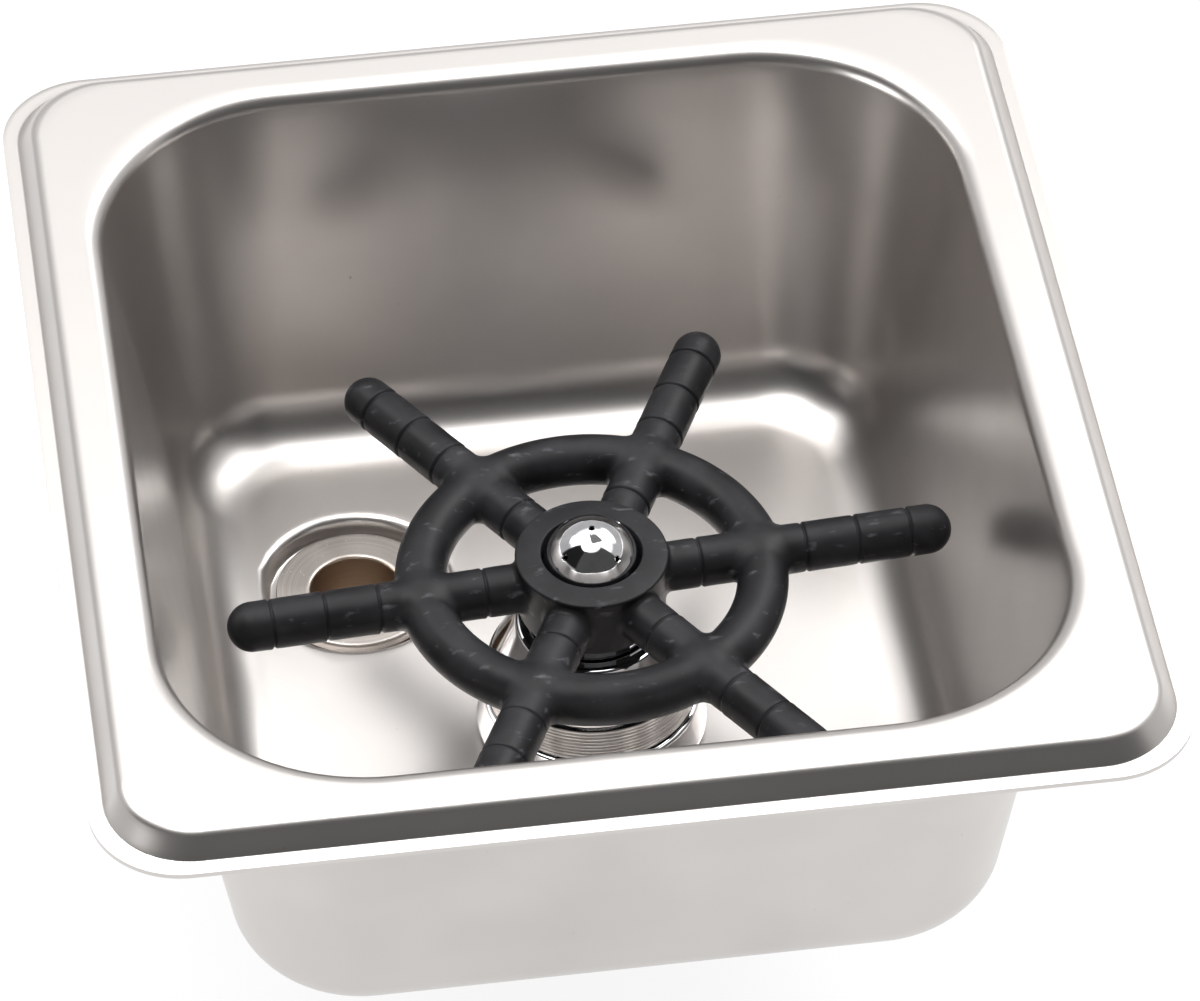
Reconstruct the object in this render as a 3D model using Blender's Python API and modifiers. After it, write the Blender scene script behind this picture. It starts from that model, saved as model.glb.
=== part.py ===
"""Drop-in glass rinser: a pressed steel pan with a press-to-rinse valve, a six-armed spider and a waste outlet.

Metres, +Z up. X runs along the short front edge, Y along the pan. The origin is the middle of the pan at the
height of the counter, which is the underside of the pan's lip.
"""

import math

import bmesh
import bpy
from mathutils import Matrix, Vector

# Fits: what lies against its neighbour keeps GAP, and what slides keeps SLIDE all round
GAP = 0.0003
SLIDE = 0.0003
OVERRUN = 0.002
MERGE = 0.00002

# Pan: the outside of a sixth-size food pan, measured over the lip
PAN_WIDTH = 0.162
PAN_LENGTH = 0.176
PAN_DEPTH = 0.065
SHEET = 0.0008
LIP_FLAT = 0.0021
LIP_BEND = 0.0008
RIM_BEND = 0.0020
RIM_RISE = 0.0038
RIM_BORDER = 0.0103
MOUTH_BEND = 0.0031
FLOOR_FILLET = 0.0112
WALL_DRAFT = math.radians(9.9)
LIP_CORNER = 0.0138
RIM_CORNER = 0.0112
MOUTH_CORNER = 0.034
FLOOR_CORNER = 0.0187
FILLET_CORNER_share = 0.75

# Waste outlet: its dish is pressed into the floor at the back left
DRAIN_X_share = -0.1941
DRAIN_Y_share = 0.1622
DISH_MOUTH = 0.0144
DISH_FLOOR = 0.0134
DRAIN_FLANGE = 0.0129
DRAIN_FLANGE_THICK = 0.0017
DRAIN_SINK = 0.0013
DRAIN_TAIL = 0.0103
DRAIN_TAIL_LENGTH = 0.032
DRAIN_BORE = 0.0073
BORE_CHAMFER = 0.0004
DRAIN_GASKET_RADIUS = 0.016
DRAIN_NUT_FLATS = 0.030
DRAIN_NUT_HEIGHT = 0.006

# Valve, outside: the stack that stands on the floor
VALVE_X_share = 0.0105
VALVE_Y_share = -0.0450
FLOOR_GASKET_RADIUS = 0.0172
FLOOR_GASKET_THICK = 0.0012
FLANGE_FOOT = 0.0181
FLANGE_TOP = 0.0170
FLANGE_HEIGHT = 0.0061
FLANGE_ROUND = 0.0008
BARREL_RADIUS = 0.0164
BARREL_HEIGHT = 0.0063
RIB_COUNT = 5
RIB_DEPTH = 0.0003
BONNET_FOOT = 0.0158
BONNET_EDGE = 0.0007
BONNET_MOUTH = 0.0118
BONNET_HEIGHT = 0.0086
BONNET_BORE = 0.0115
BONNET_ROOF = 0.0018
BONNET_LIP_ROUND = 0.0006
SPIGOT_RADIUS = 0.0136
SPIGOT_LENGTH = 0.0056

# Valve, inside
BUSH_LENGTH = 0.0036
COLLAR_RADIUS = 0.0096
COLLAR_LENGTH = 0.0088
PRESS_TRAVEL = 0.003
SLIP_WASHER_RADIUS = 0.0106
SLIP_WASHER_THICK = 0.0010
SPRING_RADIUS = 0.0088
SPRING_WIRE = 0.0014
SPRING_TURNS = 4
SPRING_TURN_POINTS = 12
CUP_RADIUS = 0.0110
CUP_BELOW_BARREL = 0.0035
STEM_RADIUS = 0.0050
GLAND_LENGTH = 0.0085
OUTLET_RADIUS = 0.0074
OUTLET_LENGTH = 0.0055
SEAT_RADIUS = 0.0058
SEAT_LENGTH = 0.0020
CHAMBER_RADIUS = 0.0096
CHAMBER_LENGTH = 0.0100
SHANK_RADIUS = 0.0131
RING_SECTION = 0.0007
RING_GROOVE_DEPTH = 0.0014
RING_INSET = 0.0017
RING_PITCH = 0.0028
WAIST_RADIUS = 0.0038
WAIST_LENGTH = 0.0070
WATER_BORE = 0.0024
PORT_RADIUS = 0.0012
DISC_RADIUS = 0.0074
DISC_THICK = 0.0022
SCREW_RADIUS = 0.0017
SCREW_HEAD_RADIUS = 0.0055
SCREW_HEAD_THICK = 0.0020
SCREW_HOLE_DEPTH = 0.0024
SCREW_WEB = 0.0012

# Valve, under the floor
CLAMP_RADIUS = 0.019
CLAMP_GASKET_THICK = 0.002
CLAMP_WASHER_THICK = 0.0014
VALVE_NUT_FLATS = 0.036
VALVE_NUT_HEIGHT = 0.007
INLET_SEAL_THICK = 0.0012
INLET_PLUG_LENGTH = 0.0039
INLET_HEX_FLATS = 0.027
INLET_HEX_HEIGHT = 0.005
INLET_THREAD_RADIUS = 0.0104
INLET_THREAD_LENGTH = 0.012
INLET_BORE = 0.0065
THREAD_CHAMFER = 0.0008

# Spider and nozzle
HUB_RADIUS = 0.0119
HUB_FOOT_RADIUS = 0.0115
HUB_HEIGHT = 0.0107
HUB_ROUND = 0.0004
HUB_CROWN = 0.0004
NOZZLE_RADIUS = 0.0071
NOZZLE_RECESS_DEPTH = 0.0026
NOZZLE_RECESS_PLAY = 0.00045
HUB_WEB = 0.0030
SPIGOT_TOP_RADIUS = 0.0082
ARM_COUNT = 6
ARM_TURN = math.radians(3.5)
ARM_RADIUS = 0.0039
ARM_REACH = 0.0571
ARM_DROP = 0.0053
ARM_ROOT_share = 0.82
RING_RADIUS = 0.0265
RING_TUBE = 0.0040
GROOVE_COUNT = 5
GROOVE_FROM_TIP = 0.0068
GROOVE_FROM_HUB = 0.0050
GROOVE_HALF_WIDTH = 0.0004
GROOVE_DEPTH = 0.0003
NOZZLE_EDGE = 0.0024
NOZZLE_CAP_RISE = 0.0019
NOZZLE_STEM_RADIUS = 0.0040
NOZZLE_STEM_LENGTH = 0.0094
NOZZLE_BORE = 0.0022
NOZZLE_WELL_RADIUS = 0.0053
NOZZLE_WALL = 0.0011
NOZZLE_SEAL_THICK = 0.0010
JET_RADIUS = 0.00045
JET_CIRCLE = 0.0044
JET_COUNT = 3
JET_TURN = math.radians(81.8)

# Fineness of the round shapes
WIDE_STEPS = 36
NARROW_STEPS = 24
CORNER_STEPS = 8
BEND_STEPS = 3
DOME_STEPS = 4
ARM_STEPS = 12
RING_STEPS = 48
JET_STEPS = 8
SHARP_ANGLE = math.radians(35)

# Heights worked out from the sizes above, from the counter down to the floor and then up and down the valve
TOP_FACE = SHEET + RIM_RISE
FLOOR_TOP = TOP_FACE - PAN_DEPTH + SHEET
FLOOR_UNDER = FLOOR_TOP - SHEET

FLANGE_LOW = FLOOR_TOP + GAP + FLOOR_GASKET_THICK + GAP
BARREL_LOW = FLANGE_LOW + FLANGE_HEIGHT + GAP
BARREL_HIGH = BARREL_LOW + BARREL_HEIGHT
BONNET_LOW = BARREL_HIGH + GAP
BONNET_HIGH = BONNET_LOW + BONNET_HEIGHT
HUB_LOW = BONNET_HIGH + GAP + PRESS_TRAVEL
HUB_HIGH = HUB_LOW + HUB_HEIGHT
ARM_LEVEL = HUB_HIGH - ARM_DROP

CUP_FLOOR = BARREL_LOW - CUP_BELOW_BARREL
GLAND_LOW = CUP_FLOOR - GLAND_LENGTH
SEAT_HIGH = GLAND_LOW - OUTLET_LENGTH
SEAT_LOW = SEAT_HIGH - SEAT_LENGTH
SHANK_LOW = SEAT_LOW - CHAMBER_LENGTH

COLLAR_HIGH = HUB_LOW - GAP
COLLAR_LOW = COLLAR_HIGH - COLLAR_LENGTH
RECESS_FLOOR = HUB_HIGH - NOZZLE_RECESS_DEPTH
SOCKET_ROOF = RECESS_FLOOR - HUB_WEB
PLUNGER_HIGH = SOCKET_ROOF - GAP
PLUNGER_LOW = SEAT_LOW
NOZZLE_LOW = RECESS_FLOOR + GAP
STEM_END = NOZZLE_LOW - NOZZLE_STEM_LENGTH
NOZZLE_SEAT = STEM_END - GAP - NOZZLE_SEAL_THICK - GAP
WATER_BORE_END = PLUNGER_LOW + SCREW_HOLE_DEPTH + SCREW_WEB
RING_GROOVE = STEM_RADIUS - RING_GROOVE_DEPTH
RING_LEVELS = [CUP_FLOOR - RING_INSET, CUP_FLOOR - RING_INSET - RING_PITCH]
GLAND_RADIUS = STEM_RADIUS + SLIDE

DISH_DEPTH = DRAIN_SINK + DRAIN_FLANGE_THICK + GAP
DRAIN_TOP = FLOOR_TOP - DRAIN_SINK
DRAIN_SEAT = DRAIN_TOP - DRAIN_FLANGE_THICK
DRAIN_LOW = DRAIN_SEAT - DRAIN_TAIL_LENGTH
DISH_UNDER = FLOOR_TOP - DISH_DEPTH - SHEET

VALVE_PLACE = Vector((VALVE_X_share * PAN_WIDTH, VALVE_Y_share * PAN_LENGTH, 0))
DRAIN_PLACE = Vector((DRAIN_X_share * PAN_WIDTH, DRAIN_Y_share * PAN_LENGTH, 0))


def material(name, color, roughness, metallic):
    """A Principled material for one kind of surface."""
    made = bpy.data.materials.new(name)
    made.use_nodes = True
    shader = made.node_tree.nodes["Principled BSDF"]
    shader.inputs["Base Color"].default_value = (*color, 1)
    shader.inputs["Roughness"].default_value = roughness
    shader.inputs["Metallic"].default_value = metallic
    return made


def collection(name):
    """A new collection in the scene."""
    made = bpy.data.collections.new(name)
    bpy.context.scene.collection.children.link(made)
    return made


def empty(name, place, parent=None):
    """An empty that carries the pieces of one axis."""
    made = bpy.data.objects.new(name, None)
    made.location = place
    made.parent = parent
    PARTS.objects.link(made)
    return made


def shade(mesh):
    """Smooth over the round faces and sharp over the edges."""
    mesh.shade_smooth()
    mesh.set_sharp_from_angle(angle=SHARP_ANGLE)


def bake(thing):
    """Turn an object's modifiers or curve into its own mesh."""
    bpy.context.view_layer.update()
    graph = bpy.context.evaluated_depsgraph_get()
    mesh = bpy.data.meshes.new_from_object(thing.evaluated_get(graph))
    thing.modifiers.clear()
    thing.data = mesh
    return thing


def turned(name, profile, look, parent, steps=NARROW_STEPS, hollow=True, group=None):
    """A turned piece: a profile of (radius, height) points that runs down its outer side.

    A hollow profile closes on itself round the bore. One that isn't hollow starts and ends on the axis.
    """
    mesh = bpy.data.meshes.new(name)
    points = [(radius, 0, height) for radius, height in profile]
    edges = [(i, i + 1) for i in range(len(points) - 1)]
    if hollow:
        edges.append((len(points) - 1, 0))
    mesh.from_pydata(points, edges, [])
    piece = bpy.data.objects.new(name, mesh)
    (group or PARTS).objects.link(piece)
    screw = piece.modifiers.new("turn", "SCREW")
    screw.angle = math.tau
    screw.steps = steps
    screw.render_steps = steps
    screw.use_merge_vertices = True
    screw.merge_threshold = MERGE
    bake(piece)
    shade(piece.data)
    piece.data.materials.append(look)
    piece.parent = parent
    return piece


def ring_profile(inner, outer, low, high):
    """The profile of a plain flat ring."""
    return [(inner, high), (outer, high), (outer, low), (inner, low)]


def arc(centre, radius, start, end, steps):
    """Points on an arc of a circle in a profile's plane, from one angle to another."""
    angles = [start + (end - start) * i / steps for i in range(steps + 1)]
    return [(centre[0] + radius * math.cos(a), centre[1] + radius * math.sin(a)) for a in angles]


def hexagon(name, flats, low, high, group):
    """A hexagonal prism about the Z axis, measured over its flats."""
    mesh = bpy.data.meshes.new(name)
    shape = bmesh.new()
    corner = flats / math.sqrt(3)
    middle = Matrix.Translation((0, 0, (low + high) / 2))
    bmesh.ops.create_cone(shape, cap_ends=True, segments=6, radius1=corner, radius2=corner, depth=high - low,
                          matrix=middle)
    shape.to_mesh(mesh)
    shape.free()
    piece = bpy.data.objects.new(name, mesh)
    group.objects.link(piece)
    return piece


def cone(name, low_radius, high_radius, low, high, steps, parent):
    """A cone or cylinder about the Z axis, used to cut or to join."""
    mesh = bpy.data.meshes.new(name)
    shape = bmesh.new()
    middle = Matrix.Translation((0, 0, (low + high) / 2))
    bmesh.ops.create_cone(shape, cap_ends=True, segments=steps, radius1=low_radius, radius2=high_radius,
                          depth=high - low, matrix=middle)
    shape.to_mesh(mesh)
    shape.free()
    tool = bpy.data.objects.new(name, mesh)
    CUTTERS.objects.link(tool)
    tool.parent = parent
    return tool


def combine(piece, tool, operation):
    """Cut a tool from a piece, or join it, and hide the tool."""
    tool.hide_render = True
    tool.display_type = "WIRE"
    boolean = piece.modifiers.new(operation.lower(), "BOOLEAN")
    boolean.operation = operation
    boolean.solver = "EXACT"
    boolean.object = tool


def wall_profile():
    """The pan's upper surface from the lip's edge to the floor: (inset, height, corner radius) rows."""
    lip_centre = (LIP_FLAT, SHEET + LIP_BEND)
    rim_centre = (LIP_FLAT + LIP_BEND + RIM_BEND, TOP_FACE - RIM_BEND)
    mouth_centre = (RIM_BORDER, TOP_FACE - MOUTH_BEND)
    rim = [(0, SHEET)]
    rim += arc(lip_centre, LIP_BEND, -math.pi / 2, 0, BEND_STEPS)
    rim += arc(rim_centre, RIM_BEND, math.pi, math.pi / 2, BEND_STEPS)
    mouth = arc(mouth_centre, MOUTH_BEND, math.pi / 2, WALL_DRAFT, BEND_STEPS)
    fall = mouth[-1][1] - FLOOR_TOP - FLOOR_FILLET * (1 - math.sin(WALL_DRAFT))
    wall_end = mouth[-1][0] + fall * math.tan(WALL_DRAFT)
    fillet_centre = (wall_end + FLOOR_FILLET * math.cos(WALL_DRAFT), FLOOR_TOP + FLOOR_FILLET)
    fillet = arc(fillet_centre, FLOOR_FILLET, math.pi + WALL_DRAFT, math.pi * 1.5, BEND_STEPS + 2)

    rim_width = rim[-1][0]
    rows = [(u, z, LIP_CORNER + (RIM_CORNER - LIP_CORNER) * u / rim_width) for u, z in rim]
    rows += [(u, z, MOUTH_CORNER - (u - RIM_BORDER)) for u, z in mouth]
    rows += [(u, z, FLOOR_CORNER - (u - wall_end) * FILLET_CORNER_share) for u, z in fillet]
    return rows


def rounded_outline(half_width, half_length, radius):
    """A rounded rectangle's points, anticlockwise from the right-hand side."""
    points = []
    for quarter, (side_x, side_y) in enumerate(((1, 1), (-1, 1), (-1, -1), (1, -1))):
        centre = (side_x * (half_width - radius), side_y * (half_length - radius))
        start = quarter * math.pi / 2
        points += arc(centre, radius, start, start + math.pi / 2, CORNER_STEPS)
    return points


def build_basin(look):
    """The pan: a loft of rounded outlines thickened to sheet, with the dish and the two holes."""
    shape = bmesh.new()
    rings = []
    for inset, height, corner in wall_profile():
        outline = rounded_outline(PAN_WIDTH / 2 - inset, PAN_LENGTH / 2 - inset, corner)
        rings.append([shape.verts.new((x, y, height)) for x, y in outline])
    count = len(rings[0])
    for outer, inner in zip(rings, rings[1:]):
        for i in range(count):
            j = (i + 1) % count
            shape.faces.new((outer[i], outer[j], inner[j], inner[i]))
    shape.faces.new(rings[-1])
    mesh = bpy.data.meshes.new("basin")
    shape.to_mesh(mesh)
    shape.free()
    basin = bpy.data.objects.new("basin", mesh)
    PARTS.objects.link(basin)
    solid = basin.modifiers.new("sheet", "SOLIDIFY")
    solid.thickness = SHEET
    solid.offset = -1
    solid.use_even_offset = True
    bake(basin)
    shade(basin.data)
    basin.data.materials.append(look)

    middle = FLOOR_TOP - SHEET / 2
    slope = (DISH_MOUTH - DISH_FLOOR) / DISH_DEPTH
    boss_top = DISH_MOUTH + SHEET - slope * SHEET / 2
    boss = cone("dish_boss", DISH_FLOOR + SHEET, boss_top, DISH_UNDER, middle, WIDE_STEPS, DRAIN_AXIS)
    pocket = cone("dish_pocket", DISH_FLOOR, DISH_MOUTH + slope * OVERRUN, FLOOR_TOP - DISH_DEPTH,
                  FLOOR_TOP + OVERRUN, WIDE_STEPS, DRAIN_AXIS)
    hole_radius = DRAIN_TAIL + GAP
    hole = cone("drain_hole", hole_radius, hole_radius, DISH_UNDER - OVERRUN, FLOOR_TOP + OVERRUN,
                WIDE_STEPS, DRAIN_AXIS)
    shank_radius = SHANK_RADIUS + GAP
    shank_hole = cone("valve_hole", shank_radius, shank_radius, FLOOR_UNDER - OVERRUN,
                      FLOOR_TOP + OVERRUN, WIDE_STEPS, VALVE_AXIS)
    combine(basin, boss, "UNION")
    combine(basin, pocket, "DIFFERENCE")
    combine(basin, hole, "DIFFERENCE")
    combine(basin, shank_hole, "DIFFERENCE")


def build_drain(steel, rubber, nylon):
    """The waste outlet: flange and threaded tail, and what clamps it under the floor."""
    profile = [(DRAIN_BORE + BORE_CHAMFER, DRAIN_TOP), (DRAIN_FLANGE - BORE_CHAMFER, DRAIN_TOP),
               (DRAIN_FLANGE, DRAIN_TOP - BORE_CHAMFER), (DRAIN_FLANGE, DRAIN_SEAT),
               (DRAIN_TAIL, DRAIN_SEAT), (DRAIN_TAIL, DRAIN_LOW + THREAD_CHAMFER),
               (DRAIN_TAIL - THREAD_CHAMFER, DRAIN_LOW), (DRAIN_BORE, DRAIN_LOW),
               (DRAIN_BORE, DRAIN_TOP - BORE_CHAMFER)]
    turned("drain_body", profile, steel, DRAIN_AXIS, WIDE_STEPS)
    inner = DRAIN_TAIL + GAP
    high = DISH_UNDER - GAP
    turned("drain_gasket", ring_profile(inner, DRAIN_GASKET_RADIUS, high - CLAMP_GASKET_THICK, high),
           rubber, DRAIN_AXIS)
    high -= CLAMP_GASKET_THICK + GAP
    turned("drain_washer", ring_profile(inner, DRAIN_GASKET_RADIUS, high - CLAMP_WASHER_THICK, high),
           nylon, DRAIN_AXIS)
    high -= CLAMP_WASHER_THICK + GAP
    build_nut("drain_nut", DRAIN_NUT_FLATS, inner, high - DRAIN_NUT_HEIGHT, high, steel, DRAIN_AXIS)


def build_nut(name, flats, bore, low, high, look, parent):
    """A hexagonal nut with a plain bore for its thread."""
    nut = hexagon(name, flats, low, high, PARTS)
    nut.parent = parent
    nut.data.materials.append(look)
    hole = cone(name + "_bore", bore, bore, low - OVERRUN, high + OVERRUN, NARROW_STEPS, parent)
    combine(nut, hole, "DIFFERENCE")


def barrel_ribs():
    """The barrel's turned ribs, as the points of its outer side from the top down."""
    pitch = BARREL_HEIGHT / RIB_COUNT
    points = []
    for i in range(RIB_COUNT):
        top = BARREL_HIGH - i * pitch
        points += [(BARREL_RADIUS - RIB_DEPTH, top), (BARREL_RADIUS, top - pitch / 2)]
    return points + [(BARREL_RADIUS - RIB_DEPTH, BARREL_LOW)]


def build_valve_body(steel):
    """The ribbed barrel and the shank through the floor, bored for spring, gland, seat and water."""
    thread_bore = SPIGOT_RADIUS + GAP
    thread_low = BONNET_LOW - SPIGOT_LENGTH - GAP
    profile = barrel_ribs()
    profile += [(SHANK_RADIUS, BARREL_LOW), (SHANK_RADIUS, SHANK_LOW + THREAD_CHAMFER),
                (SHANK_RADIUS - THREAD_CHAMFER, SHANK_LOW), (CHAMBER_RADIUS, SHANK_LOW),
                (CHAMBER_RADIUS, SEAT_LOW), (SEAT_RADIUS, SEAT_LOW), (SEAT_RADIUS, SEAT_HIGH),
                (OUTLET_RADIUS, SEAT_HIGH), (OUTLET_RADIUS, GLAND_LOW), (GLAND_RADIUS, GLAND_LOW),
                (GLAND_RADIUS, CUP_FLOOR), (CUP_RADIUS, CUP_FLOOR), (CUP_RADIUS, thread_low),
                (thread_bore, thread_low), (thread_bore, BARREL_HIGH)]
    turned("valve_body", profile, steel, VALVE_AXIS, WIDE_STEPS)


def build_valve_outside(chrome, rubber, steel):
    """What stands on the floor round the body, and what clamps it under the floor."""
    inner = SHANK_RADIUS + GAP
    low = FLOOR_TOP + GAP
    turned("floor_gasket", ring_profile(inner, FLOOR_GASKET_RADIUS, low, low + FLOOR_GASKET_THICK),
           rubber, VALVE_AXIS, WIDE_STEPS)

    high = FLANGE_LOW + FLANGE_HEIGHT
    top_centre = (FLANGE_TOP - FLANGE_ROUND, high - FLANGE_ROUND)
    profile = [(inner, high)] + arc(top_centre, FLANGE_ROUND, math.pi / 2, 0, BEND_STEPS)
    profile += [(FLANGE_FOOT, FLANGE_LOW + FLANGE_ROUND), (FLANGE_FOOT - FLANGE_ROUND, FLANGE_LOW),
                (inner, FLANGE_LOW)]
    turned("base_flange", profile, chrome, VALVE_AXIS, WIDE_STEPS)

    lip_centre = (BONNET_MOUTH - BONNET_LIP_ROUND, BONNET_HIGH - BONNET_LIP_ROUND)
    ledge = BONNET_HIGH - BONNET_ROOF
    profile = [(COLLAR_RADIUS + SLIDE, BONNET_HIGH)]
    profile += arc(lip_centre, BONNET_LIP_ROUND, math.pi / 2, 0, BEND_STEPS)
    profile += [(BONNET_FOOT, BONNET_LOW + BONNET_EDGE), (BONNET_FOOT, BONNET_LOW),
                (SPIGOT_RADIUS, BONNET_LOW), (SPIGOT_RADIUS, BONNET_LOW - SPIGOT_LENGTH),
                (BONNET_BORE, BONNET_LOW - SPIGOT_LENGTH), (BONNET_BORE, ledge),
                (COLLAR_RADIUS + SLIDE, ledge)]
    turned("bonnet", profile, chrome, VALVE_AXIS, WIDE_STEPS)

    high = FLOOR_UNDER - GAP
    turned("clamp_gasket", ring_profile(inner, CLAMP_RADIUS, high - CLAMP_GASKET_THICK, high),
           rubber, VALVE_AXIS)
    high -= CLAMP_GASKET_THICK + GAP
    turned("clamp_washer", ring_profile(inner, CLAMP_RADIUS, high - CLAMP_WASHER_THICK, high),
           steel, VALVE_AXIS)
    high -= CLAMP_WASHER_THICK + GAP
    build_nut("valve_nut", VALVE_NUT_FLATS, inner, high - VALVE_NUT_HEIGHT, high, steel, VALVE_AXIS)


def build_inlet(steel, fibre):
    """The adapter in the shank's end that takes the supply hose, and its seal."""
    plug = CHAMBER_RADIUS - GAP
    seal_high = SHANK_LOW - GAP
    seal_low = seal_high - INLET_SEAL_THICK
    hex_high = seal_low - GAP
    hex_low = hex_high - INLET_HEX_HEIGHT
    low = hex_low - INLET_THREAD_LENGTH
    turned("inlet_seal", ring_profile(plug + GAP, SHANK_RADIUS, seal_low, seal_high), fibre, VALVE_AXIS)

    profile = [(INLET_BORE, SHANK_LOW + INLET_PLUG_LENGTH), (plug, SHANK_LOW + INLET_PLUG_LENGTH),
               (plug, (hex_low + hex_high) / 2), (INLET_THREAD_RADIUS, (hex_low + hex_high) / 2),
               (INLET_THREAD_RADIUS, low + THREAD_CHAMFER), (INLET_THREAD_RADIUS - THREAD_CHAMFER, low),
               (INLET_BORE, low)]
    adapter = turned("inlet_adapter", profile, steel, VALVE_AXIS)
    collar = hexagon("inlet_hex", INLET_HEX_FLATS, hex_low, hex_high, CUTTERS)
    collar.parent = VALVE_AXIS
    core = cone("inlet_core", (INLET_BORE + plug) / 2, (INLET_BORE + plug) / 2, hex_low - OVERRUN,
                hex_high + OVERRUN, NARROW_STEPS, VALVE_AXIS)
    combine(collar, core, "DIFFERENCE")
    combine(adapter, collar, "UNION")


def build_bush_and_washer(plastic, steel):
    """The plunger's bush in the bonnet, and the slip washer between plunger and spring."""
    bush_high = BONNET_HIGH - BONNET_ROOF - GAP
    turned("guide_bush", ring_profile(COLLAR_RADIUS + SLIDE, BONNET_BORE - GAP, bush_high - BUSH_LENGTH,
                                      bush_high), plastic, VALVE_AXIS, WIDE_STEPS)
    washer_high = COLLAR_LOW - GAP
    turned("spring_washer", ring_profile(STEM_RADIUS + SLIDE, SLIP_WASHER_RADIUS,
                                         washer_high - SLIP_WASHER_THICK, washer_high), steel, VALVE_AXIS)


def build_spring(look):
    """The return spring: a wire helix between the cup's floor and the slip washer."""
    low = CUP_FLOOR + GAP + SPRING_WIRE / 2
    high = COLLAR_LOW - GAP - SLIP_WASHER_THICK - GAP - SPRING_WIRE / 2
    count = SPRING_TURNS * SPRING_TURN_POINTS
    curve = bpy.data.curves.new("return_spring", "CURVE")
    curve.dimensions = "3D"
    curve.bevel_depth = SPRING_WIRE / 2
    curve.bevel_resolution = 2
    curve.use_fill_caps = True
    line = curve.splines.new("POLY")
    line.points.add(count)
    for i, point in enumerate(line.points):
        turn = math.tau * i / SPRING_TURN_POINTS
        height = low + (high - low) * i / count
        point.co = (SPRING_RADIUS * math.cos(turn), SPRING_RADIUS * math.sin(turn), height, 1)
    curve.materials.append(look)
    spring = bpy.data.objects.new("return_spring", curve)
    PARTS.objects.link(spring)
    spring.parent = VALVE_AXIS


def build_plunger(steel, rubber):
    """The hollow plunger with its collar, seal grooves, waist and cross ports, and its two seals."""
    half_groove = RING_SECTION + SLIDE
    profile = [(NOZZLE_STEM_RADIUS + GAP, PLUNGER_HIGH), (SPIGOT_TOP_RADIUS, PLUNGER_HIGH),
               (SPIGOT_TOP_RADIUS, COLLAR_HIGH), (COLLAR_RADIUS, COLLAR_HIGH),
               (COLLAR_RADIUS, COLLAR_LOW), (STEM_RADIUS, COLLAR_LOW)]
    for level in RING_LEVELS:
        profile += [(STEM_RADIUS, level + half_groove), (RING_GROOVE, level + half_groove),
                    (RING_GROOVE, level - half_groove), (STEM_RADIUS, level - half_groove)]
    waist_high = PLUNGER_LOW + WAIST_LENGTH
    profile += [(STEM_RADIUS, waist_high), (WAIST_RADIUS, waist_high), (WAIST_RADIUS, PLUNGER_LOW),
                (SCREW_RADIUS + GAP, PLUNGER_LOW), (SCREW_RADIUS + GAP, PLUNGER_LOW + SCREW_HOLE_DEPTH),
                (0, PLUNGER_LOW + SCREW_HOLE_DEPTH)]
    start = [(0, WATER_BORE_END), (WATER_BORE, WATER_BORE_END), (WATER_BORE, NOZZLE_SEAT),
             (NOZZLE_STEM_RADIUS + GAP, NOZZLE_SEAT)]
    plunger = turned("plunger", start + profile, steel, HEAD, hollow=False)
    port = cone("plunger_port", PORT_RADIUS, PORT_RADIUS, -WAIST_RADIUS - OVERRUN, WAIST_RADIUS + OVERRUN,
                JET_STEPS, HEAD)
    port.location = (0, 0, WATER_BORE_END + PORT_RADIUS + GAP)
    port.rotation_euler = (0, math.pi / 2, 0)
    combine(plunger, port, "DIFFERENCE")

    ring_middle = (GLAND_RADIUS + RING_GROOVE) / 2
    for name, level in zip(("upper_o_ring", "lower_o_ring"), RING_LEVELS):
        section = arc((ring_middle, level), RING_SECTION, math.pi, -math.pi, JET_STEPS)[:-1]
        turned(name, section, rubber, HEAD)


def build_seal(rubber, steel):
    """The disc that shuts against the seat, and the screw that holds it on the plunger."""
    high = SEAT_LOW - GAP
    low = high - DISC_THICK
    turned("seal_disc", ring_profile(SCREW_RADIUS + GAP, DISC_RADIUS, low, high), rubber, HEAD)
    head_high = low - GAP
    head_low = head_high - SCREW_HEAD_THICK
    end = PLUNGER_LOW + SCREW_HOLE_DEPTH - GAP
    profile = [(0, end), (SCREW_RADIUS, end), (SCREW_RADIUS, head_high), (SCREW_HEAD_RADIUS, head_high),
               (SCREW_HEAD_RADIUS, head_low), (0, head_low)]
    turned("seal_screw", profile, steel, HEAD, hollow=False)


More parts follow.
